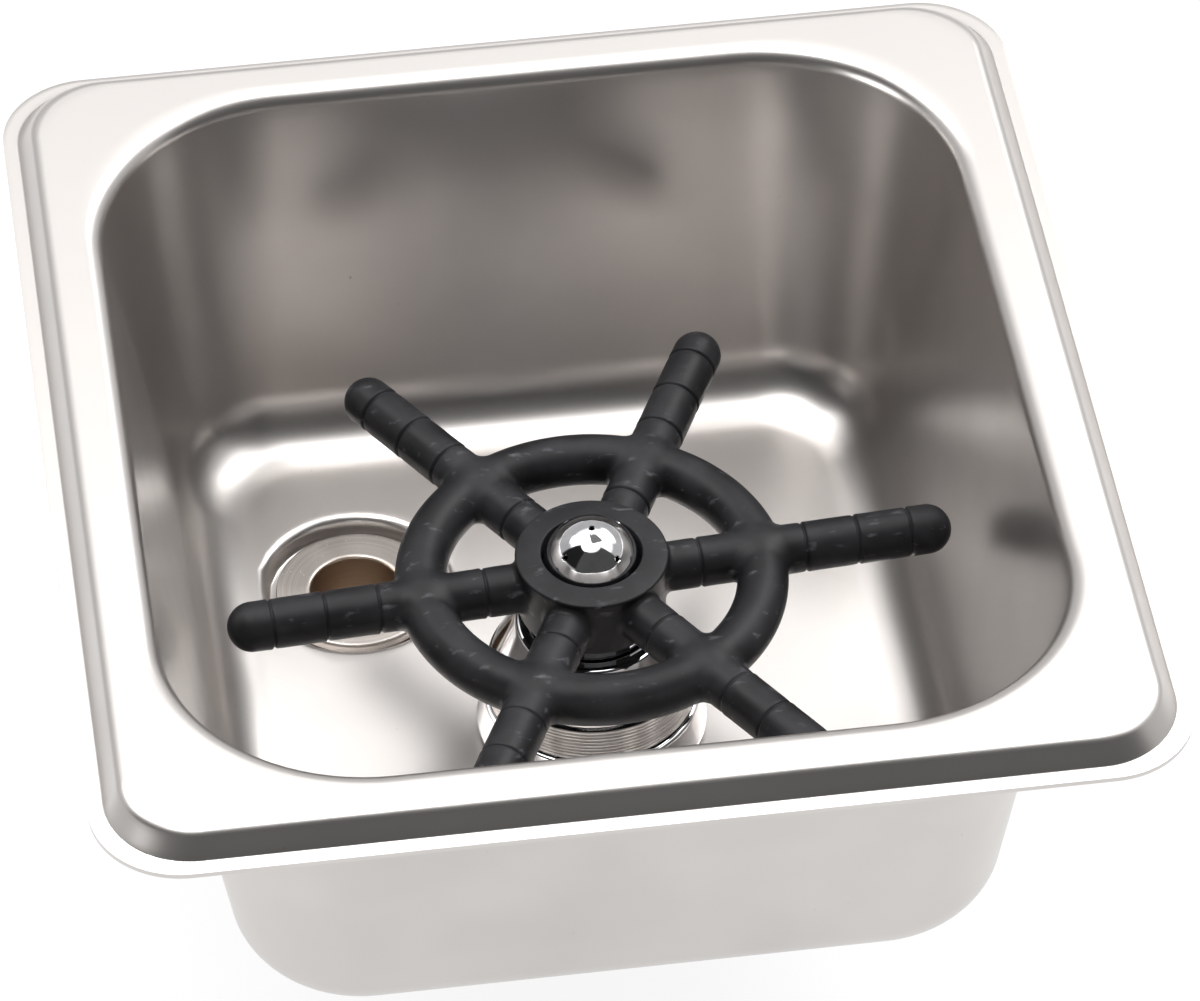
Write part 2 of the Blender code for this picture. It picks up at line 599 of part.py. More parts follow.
def build_nozzle(chrome, fibre):
    """The domed nozzle: its stem goes through the hub into the plunger, and its jets open from a well."""
    edge_high = NOZZLE_LOW + NOZZLE_EDGE
    sphere = (NOZZLE_RADIUS ** 2 + NOZZLE_CAP_RISE ** 2) / (2 * NOZZLE_CAP_RISE)
    centre = (0, edge_high + NOZZLE_CAP_RISE - sphere)
    edge_angle = math.asin((sphere - NOZZLE_CAP_RISE) / sphere)
    profile = arc(centre, sphere, math.pi / 2, edge_angle, DOME_STEPS)
    profile[0] = (0, edge_high + NOZZLE_CAP_RISE)
    well_roof = edge_high + NOZZLE_CAP_RISE - sphere + math.sqrt(sphere ** 2 - NOZZLE_WELL_RADIUS ** 2)
    well_roof -= NOZZLE_WALL
    profile += [(NOZZLE_RADIUS, NOZZLE_LOW), (NOZZLE_STEM_RADIUS, NOZZLE_LOW),
                (NOZZLE_STEM_RADIUS, STEM_END), (NOZZLE_BORE, STEM_END), (NOZZLE_BORE, NOZZLE_LOW),
                (NOZZLE_WELL_RADIUS, well_roof), (0, well_roof)]
    nozzle = turned("nozzle", profile, chrome, HEAD, hollow=False)
    places = [(0, 0)]
    for i in range(JET_COUNT):
        turn = JET_TURN + math.tau * i / JET_COUNT
        places.append((JET_CIRCLE * math.cos(turn), JET_CIRCLE * math.sin(turn)))
    for i, (x, y) in enumerate(places):
        jet = cone(f"jet_{i + 1}", JET_RADIUS, JET_RADIUS, well_roof - OVERRUN / 4,
                   edge_high + NOZZLE_CAP_RISE + OVERRUN, JET_STEPS, HEAD)
        jet.location = (x, y, 0)
        combine(nozzle, jet, "DIFFERENCE")
    turned("nozzle_seal", ring_profile(NOZZLE_BORE + GAP, NOZZLE_STEM_RADIUS, NOZZLE_SEAT + GAP,
                                       STEM_END - GAP), fibre, HEAD)


def arm_profile():
    """One arm from its round tip down to its root, with the grooves that cross it."""
    profile = arc((0, ARM_REACH - ARM_RADIUS), ARM_RADIUS, math.pi / 2, 0, DOME_STEPS)
    profile[0] = (0, ARM_REACH)
    first = ARM_REACH - GROOVE_FROM_TIP
    pitch = (first - HUB_RADIUS - GROOVE_FROM_HUB) / (GROOVE_COUNT - 1)
    for i in range(GROOVE_COUNT):
        place = first - i * pitch
        if abs(place - RING_RADIUS) > RING_TUBE:
            profile += [(ARM_RADIUS, place + GROOVE_HALF_WIDTH), (ARM_RADIUS - GROOVE_DEPTH, place),
                        (ARM_RADIUS, place - GROOVE_HALF_WIDTH)]
    root = HUB_RADIUS * ARM_ROOT_share
    return profile + [(ARM_RADIUS, root), (0, root)]


def build_spider(rubber):
    """The spider: a hub with a recess and a socket, joined to a ring and six grooved arms."""
    recess = NOZZLE_RADIUS + NOZZLE_RECESS_PLAY
    socket = SPIGOT_TOP_RADIUS + GAP
    bore = NOZZLE_STEM_RADIUS + GAP
    round_centre = (HUB_RADIUS - HUB_ROUND, HUB_HIGH - HUB_ROUND)
    profile = [(bore, RECESS_FLOOR), (recess, RECESS_FLOOR), (recess, HUB_HIGH + HUB_CROWN)]
    profile += arc(round_centre, HUB_ROUND, math.pi / 2, 0, BEND_STEPS - 1)
    profile += [(HUB_FOOT_RADIUS, HUB_LOW), (socket, HUB_LOW), (socket, SOCKET_ROOF), (bore, SOCKET_ROOF)]
    spider = turned("spider", profile, rubber, HEAD, WIDE_STEPS)

    bpy.ops.mesh.primitive_torus_add(major_radius=RING_RADIUS, minor_radius=RING_TUBE,
                                     major_segments=RING_STEPS, minor_segments=ARM_STEPS,
                                     location=(0, 0, ARM_LEVEL))
    ring = bpy.context.object
    ring.name = "spider_ring"
    for home in list(ring.users_collection):
        home.objects.unlink(ring)
    CUTTERS.objects.link(ring)
    ring.parent = HEAD
    combine(spider, ring, "UNION")
    for i in range(ARM_COUNT):
        arm = turned(f"spider_arm_{i + 1}", arm_profile(), rubber, HEAD, ARM_STEPS, hollow=False,
                     group=CUTTERS)
        arm.location = (0, 0, ARM_LEVEL)
        arm.rotation_euler = (0, math.pi / 2, ARM_TURN + math.tau * i / ARM_COUNT)
        combine(spider, arm, "UNION")


for old in list(bpy.data.objects):
    bpy.data.objects.remove(old)

PARTS = collection("glass_rinser")
CUTTERS = collection("glass_rinser_cutters")
VALVE_AXIS = empty("valve_axis", VALVE_PLACE)
DRAIN_AXIS = empty("drain_axis", DRAIN_PLACE)
HEAD = empty("head", (0, 0, 0), VALVE_AXIS)

STEEL = material("satin_steel", (0.72, 0.71, 0.69), 0.32, 1)
TURNED_STEEL = material("turned_steel", (0.66, 0.64, 0.62), 0.38, 1)
CHROME = material("chrome", (0.80, 0.80, 0.80), 0.06, 1)
BLACK_RUBBER = material("black_rubber", (0.03, 0.03, 0.032), 0.55, 0)
NYLON = material("white_nylon", (0.80, 0.79, 0.75), 0.45, 0)
FIBRE = material("red_fibre", (0.35, 0.10, 0.06), 0.80, 0)
SPRING_STEEL = material("spring_steel", (0.60, 0.60, 0.60), 0.25, 1)

build_basin(STEEL)
build_drain(TURNED_STEEL, BLACK_RUBBER, NYLON)
build_valve_body(TURNED_STEEL)
build_valve_outside(CHROME, BLACK_RUBBER, TURNED_STEEL)
build_inlet(TURNED_STEEL, FIBRE)
build_bush_and_washer(NYLON, STEEL)
build_spring(SPRING_STEEL)
build_plunger(CHROME, BLACK_RUBBER)
build_seal(BLACK_RUBBER, TURNED_STEEL)
build_nozzle(CHROME, FIBRE)
build_spider(BLACK_RUBBER)
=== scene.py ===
"""The looks of a drop-in glass rinser: a pressed steel pan, a press valve with a spider, and a waste outlet.

Metres, +Z up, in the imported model's own frame: the origin is the middle of the pan at counter height, X runs
along the short front edge and Y towards the back.
"""

import logging
import math
from collections.abc import Callable, Sequence
from dataclasses import dataclass
from enum import Enum
from typing import Any

import bmesh
import bpy
import numpy as np
from mathutils import Matrix, Vector


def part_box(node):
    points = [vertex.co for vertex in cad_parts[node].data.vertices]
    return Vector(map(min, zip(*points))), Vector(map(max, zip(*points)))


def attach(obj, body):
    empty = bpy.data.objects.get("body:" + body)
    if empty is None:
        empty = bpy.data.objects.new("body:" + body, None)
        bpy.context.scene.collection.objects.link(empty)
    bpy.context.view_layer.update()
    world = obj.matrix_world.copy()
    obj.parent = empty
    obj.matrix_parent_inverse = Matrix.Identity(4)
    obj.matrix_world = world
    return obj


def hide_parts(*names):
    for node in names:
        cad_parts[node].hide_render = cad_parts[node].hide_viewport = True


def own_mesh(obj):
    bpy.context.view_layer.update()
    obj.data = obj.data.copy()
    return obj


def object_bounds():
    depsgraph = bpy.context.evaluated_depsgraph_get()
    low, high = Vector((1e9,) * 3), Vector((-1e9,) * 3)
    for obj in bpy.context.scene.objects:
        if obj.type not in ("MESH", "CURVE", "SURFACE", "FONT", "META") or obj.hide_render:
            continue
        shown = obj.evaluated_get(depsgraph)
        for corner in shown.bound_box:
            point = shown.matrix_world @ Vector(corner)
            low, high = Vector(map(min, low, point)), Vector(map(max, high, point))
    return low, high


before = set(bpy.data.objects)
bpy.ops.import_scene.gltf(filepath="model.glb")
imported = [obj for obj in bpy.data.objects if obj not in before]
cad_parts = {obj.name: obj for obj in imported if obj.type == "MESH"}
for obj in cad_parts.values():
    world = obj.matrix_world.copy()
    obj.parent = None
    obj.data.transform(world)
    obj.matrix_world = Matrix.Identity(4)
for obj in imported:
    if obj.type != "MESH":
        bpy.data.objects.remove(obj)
CAD_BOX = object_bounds()

LOG = logging.getLogger("glass_rinser")
MM = 0.001
FULL_TURN = 2 * math.pi
TINY = 1e-6  # what counts as nothing
WELD = 0.002 * MM  # points nearer than this are one
SHARP = math.radians(38)  # edges that turn by more stay sharp
ROUND_STEPS = 144  # steps round a turned piece
CORNER_ROOM = 0.48  # the share of a side that a rounded corner may take
HEX_FACE = 0.955  # the flat end of a chamfered hexagon, as a share of the width over its flats
HEX_CHAMFER = math.radians(30)
LAYER_FADE = 0.55  # how much of its strength each finer layer of a pattern keeps

Corner = tuple[float, float, float]
Place = tuple[float, float]
Levels = tuple[float, float]
Socket = str | int
Tree = bpy.types.NodeTree
Node = bpy.types.Node
Piece = bpy.types.Object
Feed = tuple[Node, Socket]
Details = dict[Socket, Feed]

# Noise levels: the whole range, and the range that most of a noise lies in.
ALL: Levels = (0, 1)
MOST: Levels = (0.3, 0.7)

# A Mix node's sockets share their names, so they are told by number.
COLOUR_A, COLOUR_B, MIXED_COLOUR = 6, 7, 2
NUMBER_A, NUMBER_B = 2, 3


class Slot(Enum):
    """The record's material slots."""

    PRESSED_STEEL = "pressed_steel"
    TURNED_METAL = "turned_metal"
    CHROME = "polished_chrome"
    BLACK_MOULDING = "black_moulding"
    SEAL_RUBBER = "seal_rubber"
    NYLON = "nylon"
    FIBRE = "fibre"
    SPRING_STEEL = "spring_steel"


class Body(Enum):
    """The CAD bodies that new pieces ride on."""

    PAN = "pan"
    HEAD = "head"


# Shapes as arrays

def arc(centre: Place, radius: float, start: float, end: float, steps: int) -> np.ndarray:
    """Points on a circle's arc: centre + radius * (cos a, sin a), with a going evenly from start to end.

    Args:
        centre: The circle's middle in the profile's plane.
        radius: Its radius.
        start: The first angle in radians.
        end: The last angle in radians.
        steps: How many steps lie between them.

    Returns:
        An array of steps + 1 points.
    """
    turn = np.linspace(start, end, steps + 1)
    return np.column_stack((centre[0] + radius * np.cos(turn), centre[1] + radius * np.sin(turn)))


def rounded(corners: Sequence[Corner], steps: int = 5) -> np.ndarray:
    """A closed profile whose corners are rounded, each by its own radius.

    With unit vectors a and b from a corner to its neighbours and h half the angle between them, the arc's
    centre lies radius / sin h along a + b, and the arc starts radius / tan h along a and ends as far along b.

    Args:
        corners: Rows of radius from the axis, height, and rounding radius.
        steps: The steps on each rounded corner.

    Returns:
        An array of (radius, height) points.
    """
    places = np.array([corner[:2] for corner in corners])
    to_last = np.roll(places, 1, axis=0) - places
    to_next = np.roll(places, -1, axis=0) - places
    points = []
    for place, back, ahead, corner in zip(places, to_last, to_next, corners):
        shorter = min(np.hypot(*back), np.hypot(*ahead))
        back, ahead = back / np.hypot(*back), ahead / np.hypot(*ahead)
        half = math.acos(float(np.clip(back @ ahead, -1, 1))) / 2
        tangent = min(corner[2] / max(math.tan(half), TINY), CORNER_ROOM * shorter)
        if tangent < TINY:
            points.append(place[None, :])
            continue
        radius = tangent * math.tan(half)
        middle = place + (back + ahead) / np.hypot(*(back + ahead)) * radius / math.sin(half)
        first, last = place + back * tangent - middle, place + ahead * tangent - middle
        start = math.atan2(first[1], first[0])
        sweep = (math.atan2(last[1], last[0]) - start + math.pi) % FULL_TURN - math.pi
        points.append(arc(tuple(middle), radius, start, start + sweep, steps))
    return np.vstack(points)


def finer(profile: np.ndarray, longest: float) -> np.ndarray:
    """A profile with evenly spaced points put in, so that no step is longer than given.

    Args:
        profile: Rows of (radius, height).
        longest: The longest step that stays.

    Returns:
        The profile's own points and those between them.
    """
    lengths = np.hypot(*np.diff(profile, axis=0).T)
    counts = np.maximum(np.ceil(lengths / longest).astype(int), 1)
    along = np.concatenate([i + np.arange(n) / n for i, n in enumerate(counts)] + [[len(lengths)]])
    index = np.arange(len(profile))
    return np.column_stack([np.interp(along, index, profile[:, k]) for k in range(2)])


def turned(profile: np.ndarray, centre: Place, steps: int) -> np.ndarray:
    """A profile carried round an upright axis: (r cos t + x, r sin t + y, z) for each point and turn t.

    Args:
        profile: Rows of (radius, height), or such rows with a column for each turn.
        centre: The axis in plan.
        steps: How many turns there are.

    Returns:
        A grid of points, profile by turn.
    """
    turn = np.arange(steps) * FULL_TURN / steps
    if profile.ndim == 2:
        profile = spread(profile, steps)
    radius, height = profile[..., 0], profile[..., 1]
    return np.stack((radius * np.cos(turn) + centre[0], radius * np.sin(turn) + centre[1], height), axis=-1)


def spread(profile: Sequence[Place] | np.ndarray, steps: int) -> np.ndarray:
    """A profile repeated for every turn, so that it can be stacked with rows that differ by turn."""
    return np.repeat(np.asarray(profile, float)[:, None, :], steps, axis=1)


def placed(grid: np.ndarray, angle: float, place: Corner) -> np.ndarray:
    """A grid turned about Z by an angle and then moved to a place."""
    return grid @ np.array(Matrix.Rotation(angle, 3, "Z")).T + place


def hexagon_rows(flats: float, low: float, high: float, steps: int) -> np.ndarray:
    """The outside of a chamfered hexagon, from its upper face round to its lower face.

    The radius at turn t is flats / 2 / cos(t folded into one sixth). A cone cuts both ends, so its edge lies
    (radius - face radius) * tan(chamfer) below the face, which gives each flat its curved top.

    Args:
        flats: The width over the flats, which face along X.
        low: The lower face.
        high: The upper face.
        steps: How many turns there are.

    Returns:
        Four rows of (radius, height), with a column for each turn.
    """
    turn = np.arange(steps) * FULL_TURN / steps
    sixth = FULL_TURN / 6
    folded = (turn + sixth / 2) % sixth - sixth / 2
    outside = flats / 2 / np.cos(folded)
    face = np.full(steps, flats / 2 * HEX_FACE)
    fall = (outside - face) * math.tan(HEX_CHAMFER)
    rows = ((face, high), (outside, high - fall), (outside, low + fall), (face, low))
    return np.stack([np.stack((radius, np.broadcast_to(level, steps)), axis=-1) for radius, level in rows])


@dataclass(frozen=True)
class Thread:
    """A screw thread cut into the part of a turned piece that has the thread's radius."""

    low: float
    high: float
    radius: float
    pitch: float = 1.814 * MM
    depth: float = 0.75 * MM

    def cut(self, grid: np.ndarray, centre: Place) -> np.ndarray:
        """Sink the thread's groove into a turned grid.

        The radius loses depth * (1 + cos(2 pi (z / pitch - turn / 2 pi))) / 2, and that fades out over one
        pitch at both ends.

        Args:
            grid: Points, profile by turn.
            centre: The axis in plan.

        Returns:
            The grid with its thread.
        """
        x, y, z = grid[..., 0] - centre[0], grid[..., 1] - centre[1], grid[..., 2]
        radius = np.hypot(x, y)
        turn = np.arctan2(y, x) / FULL_TURN
        inside = np.clip(np.minimum(z - self.low, self.high - z) / self.pitch, 0, 1)
        groove = (1 + np.cos(FULL_TURN * (z / self.pitch - turn))) / 2
        sunk = np.where(np.abs(radius - self.radius) < WELD, self.depth * groove * inside, 0)
        share = (radius - sunk) / np.maximum(radius, WELD)
        return np.stack((x * share + centre[0], y * share + centre[1], z), axis=-1)


@dataclass(frozen=True)
class Extent:
    """Where a CAD node is: its axis in plan, its outer radius, and its lowest and highest level."""

    x: float
    y: float
    radius: float
    low: float
    high: float

    @classmethod
    def of(cls, node_name: str) -> "Extent":
        """Measure a node of the frame at rest."""
        low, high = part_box(node_name)
        return cls((low.x + high.x) / 2, (low.y + high.y) / 2, (high.x - low.x) / 2, low.z, high.z)

    @property
    def centre(self) -> Place:
        """The axis in plan."""
        return self.x, self.y


class Shell:
    """Grids of points that are welded into one surface."""

    def __init__(self, name: str) -> None:
        """Start an empty surface.

        Args:
            name: The name of the piece that it becomes.
        """
        self.name = name
        self.points: list[np.ndarray] = []
        self.faces: list[np.ndarray] = []
        self.count = 0

    def add(self, grid: np.ndarray, round_columns: bool = False, round_rows: bool = False) -> "Shell":
        """Add a grid as quads (i, j), (i, j + 1), (i + 1, j + 1), (i + 1, j).

        Args:
            grid: Points, row by column.
            round_columns: Whether the last column meets the first.
            round_rows: Whether the last row meets the first.

        Returns:
            This surface.
        """
        rows, columns = grid.shape[:2]
        index = np.arange(rows * columns).reshape(rows, columns) + self.count
        if round_columns:
            index = np.hstack((index, index[:, :1]))
        if round_rows:
            index = np.vstack((index, index[:1]))
        corners = (index[:-1, :-1], index[:-1, 1:], index[1:, 1:], index[1:, :-1])
        self.faces.append(np.stack(corners, axis=-1).reshape(-1, 4))
        self.points.append(grid.reshape(-1, 3))
        self.count += rows * columns
        return self

    def make(self, up: Place | None = None, sharp: float = SHARP) -> Piece:
        """Turn the grids into a mesh object, welded, with its faces pointing outwards.

        Args:
            up: For an open sheet, a place in plan where its face points up. A closed surface needs none.
            sharp: Edges that turn by more than this angle stay sharp.

        Returns:
            The object, at the origin.
        """
        points, faces = np.vstack(self.points), np.vstack(self.faces)
        mesh = bpy.data.meshes.new(self.name)
        mesh.vertices.add(len(points))
        mesh.vertices.foreach_set("co", points.astype(np.float32).ravel())
        mesh.loops.add(faces.size)
        mesh.loops.foreach_set("vertex_index", faces.astype(np.int32).ravel())
        mesh.polygons.add(len(faces))
        mesh.polygons.foreach_set("loop_start", np.arange(0, faces.size, 4, dtype=np.int32))
        mesh.update(calc_edges=True)
        shape = bmesh.new()
        shape.from_mesh(mesh)
        bmesh.ops.remove_doubles(shape, verts=shape.verts, dist=WELD)
        bmesh.ops.recalc_face_normals(shape, faces=shape.faces)
        if up is not None:
            nearest = min(shape.faces, key=lambda face: (face.calc_center_median().xy - Vector(up)).length)
            if nearest.normal.z < 0:
                bmesh.ops.reverse_faces(shape, faces=shape.faces)
        shape.to_mesh(mesh)
        shape.free()
        mesh.validate()
        mesh.shade_smooth()
        mesh.set_sharp_from_angle(angle=sharp)
        piece = bpy.data.objects.new(self.name, mesh)
        bpy.context.scene.collection.objects.link(piece)
        return piece


# Finishes

def linear(code: str) -> tuple[float, float, float, float]:
    """Turn an sRGB hex colour into a linear one with full alpha, by the sRGB standard's own curve.

    Args:
        code: Six hex digits.

    Returns:
        Red, green, blue and alpha.
    """
    shares = np.array([int(code[i:i + 2], 16) / 255 for i in (0, 2, 4)])
    values = np.where(shares <= 0.04045, shares / 12.92, ((shares + 0.055) / 1.055) ** 2.4)
    return (*map(float, values), 1.0)


def node(tree: Tree, kind: str, values: dict[Socket, Any] | None = None, links: Details | None = None,
         **settings: Any) -> Node:
    """Add a node with its settings, its socket values and the links that come into it.

    Args:
        tree: The node tree.
        kind: The node's Blender type.
        values: Socket names or numbers, and their values.
        links: Socket names or numbers, and the node and output that feed them.
        **settings: The node's own properties.

    Returns:
        The new node.
    """
    made = tree.nodes.new(kind)
    for name, value in settings.items():
        setattr(made, name, value)
    for socket, value in (values or {}).items():
        made.inputs[socket].default_value = value
    for socket, (source, output) in (links or {}).items():
        tree.links.new(source.outputs[output], made.inputs[socket])
    return made


@dataclass(frozen=True)
class Look:
    """A finished material and the record's slot that it fills."""

    material: bpy.types.Material
    slot: Slot


def dress(piece: Piece, look: Look, body: Body, stands_for: str) -> None:
    """Give a piece its finish and its body, and hide the CAD node that it stands for.

    Args:
        piece: The finished mesh object.
        look: Its finish.
        body: The CAD body that it rides on.
        stands_for: The CAD node that it replaces.
    """
    piece.data.materials.append(look.material)
    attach(piece, body.value)
    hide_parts(stands_for)
    LOG.info("%s: %d faces on %s", piece.name, len(piece.data.polygons), body.value)


@dataclass(frozen=True)
class Finish:
    """A finish: a Principled material whose detail comes from its own nodes."""

    name: str
    slot: Slot
    colour: str
    roughness: float
    metallic: float = 0.0
    gloss: float = 0.5

    def build(self) -> Look:
        """Make the material.

        Returns:
            The material with its slot.
        """
        made = bpy.data.materials.new(self.name)
        made.use_nodes = True
        tree = made.node_tree
        shader = tree.nodes["Principled BSDF"]
        shader.inputs["Metallic"].default_value = self.metallic
        shader.inputs["Specular IOR Level"].default_value = self.gloss
        for socket, (source, output) in self.detail(tree, node(tree, "ShaderNodeTexCoord")).items():
            tree.links.new(source.outputs[output], shader.inputs[socket])
        return Look(made, self.slot)

    def detail(self, tree: Tree, place: Node) -> Details:
        """Add the finish's own nodes and give what feeds the shader's colour, roughness and normal."""
        raise NotImplementedError

    def tinted(self, tree: Tree, *tints: tuple[str, Node]) -> Feed:
        """The finish's own colour with tints laid over it in turn, each by its own share.

        Args:
            tree: The node tree.
            *tints: For each, its hex colour and the node that gives its share.

        Returns:
            What feeds the shader's colour.
        """
        under = {}
        for colour, share in tints:
            mixed = node(tree, "ShaderNodeMix", {COLOUR_A: linear(self.colour), COLOUR_B: linear(colour)},
                         {0: (share, 0), **under}, data_type="RGBA")
            under = {COLOUR_A: (mixed, MIXED_COLOUR)}
        return under[COLOUR_A]

    def pattern(self, tree: Tree, place: Node, size: float, low: float, high: float, span: Levels = MOST,
                stretch: float = 1, finer_layers: int = 3) -> Node:
        """Patches of a real size, whose strength goes from low to high.

        Args:
            tree: The node tree.
            place: The Texture Coordinate node.
            size: The size of a patch in metres.
            low: The lowest value.
            high: The highest value.
            span: The noise levels that give the lowest and the highest value.
            stretch: How many times longer the patches are along X.
            finer_layers: How many finer layers are added.

        Returns:
            The node whose first output is the value.
        """
        drawn = node(tree, "ShaderNodeMapping", {"Scale": (1 / stretch, 1, 1)}, {"Vector": (place, "Object")})
        noise = node(tree, "ShaderNodeTexNoise",
                     {"Scale": 1 / size, "Detail": finer_layers, "Roughness": LAYER_FADE},
                     {"Vector": (drawn, 0)})
        return node(tree, "ShaderNodeMapRange",
                    {"From Min": span[0], "From Max": span[1], "To Min": low, "To Max": high},
                    {"Value": (noise, 0)})


@dataclass(frozen=True)
class PressedSteel(Finish):
    """Stainless sheet, deep drawn and satin finished.

    The eye gets a soft, wide reflection with faint cloudy patches, hairlines along X, the rolling direction,
    and a few small brownish specks. The hairlines and the grit are drawn coarser than the real ones, so that
    they show.
    """

    metallic: float = 1.0
    darker: str = "C2BEBB"
    speck: str = "857A70"
    cloud: float = 24 * MM
    cloud_change: float = 0.04
    spot: float = 1.1 * MM
    spot_share: float = 0.5
    spot_levels: Levels = (0.80, 0.86)
    hairline: float = 0.35 * MM
    hairline_stretch: float = 40
    hairline_depth: float = 0.006 * MM
    hairline_strength: float = 0.45
    grit: float = 0.25 * MM
    grit_depth: float = 0.003 * MM
    grit_strength: float = 0.12

    def detail(self, tree: Tree, place: Node) -> Details:
        """Clouds change colour and roughness, specks darken it, hairlines and grit raise the surface.

        Args:
            tree: The node tree.
            place: The Texture Coordinate node.

        Returns:
            What feeds the shader's colour, roughness and normal.
        """
        clouds = self.pattern(tree, place, self.cloud, 0, 1, ALL, finer_layers=2)
        specks = self.pattern(tree, place, self.spot, 0, self.spot_share, self.spot_levels, finer_layers=1)
        lines = self.pattern(tree, place, self.hairline, 0, 1, ALL, self.hairline_stretch, finer_layers=2)
        grit = self.pattern(tree, place, self.grit, 0, 1, ALL, finer_layers=2)
        colour = self.tinted(tree, (self.darker, clouds), (self.speck, specks))
        rough = node(tree, "ShaderNodeMapRange", {"To Min": self.roughness - self.cloud_change,
                                                  "To Max": self.roughness + self.cloud_change},
                     {"Value": (clouds, 0)})
        brushed = node(tree, "ShaderNodeBump",
                       {"Distance": self.hairline_depth, "Strength": self.hairline_strength},
                       {"Height": (lines, 0)})
        raised = node(tree, "ShaderNodeBump", {"Distance": self.grit_depth, "Strength": self.grit_strength},
                      {"Height": (grit, 0), "Normal": (brushed, 0)})
        return {"Base Color": colour, "Roughness": (rough, 0), "Normal": (raised, 0)}


@dataclass(frozen=True)
class TurnedSteel(Finish):
    """Stainless bar turned on a lathe.

    The eye gets fine rings round the axis on the ends and along the sides, pale specks between them, and,
    where stained is set, a bore that water has turned brown. The rings are drawn coarser than the real ones,
    so that they show.
    """

    metallic: float = 1.0
    centre: Place = (0.0, 0.0)
    darker: str = "77736F"
    speck: str = "DAD6D0"
    stain: str = "C4B09C"
    ring: float = 0.30 * MM
    ring_layers: int = 2
    ring_fade: float = 0.6
    ring_share: float = 0.55
    ring_depth: float = 0.03 * MM
    ring_strength: float = 0.40
    spot: float = 0.45 * MM
    spot_levels: Levels = (0.70, 0.76)
    smear: float = 5 * MM
    smoother: float = 0.04
    rougher: float = 0.05
    specked: float = 0.6
    stained: float = 0.0
    stain_edge: float = 0.2 * MM
    stain_share: float = 0.7

    def detail(self, tree: Tree, place: Node) -> Details:
        """Rings follow the distance from the axis and the height, so they run round the piece everywhere.

        Args:
            tree: The node tree.
            place: The Texture Coordinate node.

        Returns:
            What feeds the shader's colour, roughness and normal.
        """
        about = node(tree, "ShaderNodeMapping", {"Location": (-self.centre[0], -self.centre[1], 0)},
                     {"Vector": (place, "Object")})
        axes = node(tree, "ShaderNodeSeparateXYZ", {}, {0: (about, 0)})
        plan = node(tree, "ShaderNodeCombineXYZ", {}, {0: (axes, 0), 1: (axes, 1)})
        away = node(tree, "ShaderNodeVectorMath", {}, {0: (plan, 0)}, operation="LENGTH")
        section = node(tree, "ShaderNodeCombineXYZ", {}, {0: (away, "Value"), 1: (axes, 2)})
        rings = node(tree, "ShaderNodeTexNoise",
                     {"Scale": 1 / self.ring, "Detail": self.ring_layers, "Roughness": self.ring_fade},
                     {"Vector": (section, 0)})
        shares = node(tree, "ShaderNodeMapRange",
                      {"From Min": MOST[0], "From Max": MOST[1], "To Max": self.ring_share},
                      {"Value": (rings, 0)})
        specks = self.pattern(tree, place, self.spot, 0, self.specked, self.spot_levels, finer_layers=1)
        bore = node(tree, "ShaderNodeMapRange",
                    {"From Min": self.stained, "From Max": self.stained + self.stain_edge,
                     "To Min": self.stain_share, "To Max": 0}, {"Value": (away, "Value")})
        colour = self.tinted(tree, (self.darker, shares), (self.speck, specks), (self.stain, bore))
        rough = self.pattern(tree, place, self.smear, self.roughness - self.smoother,
                             self.roughness + self.rougher)
        raised = node(tree, "ShaderNodeBump", {"Distance": self.ring_depth, "Strength": self.ring_strength},
                      {"Height": (rings, 0)})
        return {"Base Color": colour, "Roughness": (rough, 0), "Normal": (raised, 0)}


@dataclass(frozen=True)
class PolishedChrome(Finish):
    """Brass, polished and chrome plated, or bright drawn spring wire.

    The eye gets a clear mirror with a cool tone and the slightest waviness and smear.
    """

    metallic: float = 1.0
    duller: str = "C2C2C4"
    smear: float = 3 * MM
    smoother: float = 0.7
    rougher: float = 1.6
    wave: float = 4 * MM
    wave_depth: float = 0.01 * MM
    wave_strength: float = 0.15

    def detail(self, tree: Tree, place: Node) -> Details:
        """Smears change the roughness and colour a little, and a long wave bends the reflection.

        Args:
            tree: The node tree.
            place: The Texture Coordinate node.

        Returns:
            What feeds the shader's colour, roughness and normal.
        """
        smears = self.pattern(tree, place, self.smear, 0, 1, finer_layers=4)
        waves = self.pattern(tree, place, self.wave, 0, 1, ALL, finer_layers=1)
        colour = self.tinted(tree, (self.duller, smears))
        rough = node(tree, "ShaderNodeMapRange",
                     {"To Min": self.roughness * self.smoother, "To Max": self.roughness * self.rougher},
                     {"Value": (smears, 0)})
        raised = node(tree, "ShaderNodeBump", {"Distance": self.wave_depth, "Strength": self.wave_strength},
                      {"Height": (waves, 0)})
        return {"Base Color": colour, "Roughness": (rough, 0), "Normal": (raised, 0)}


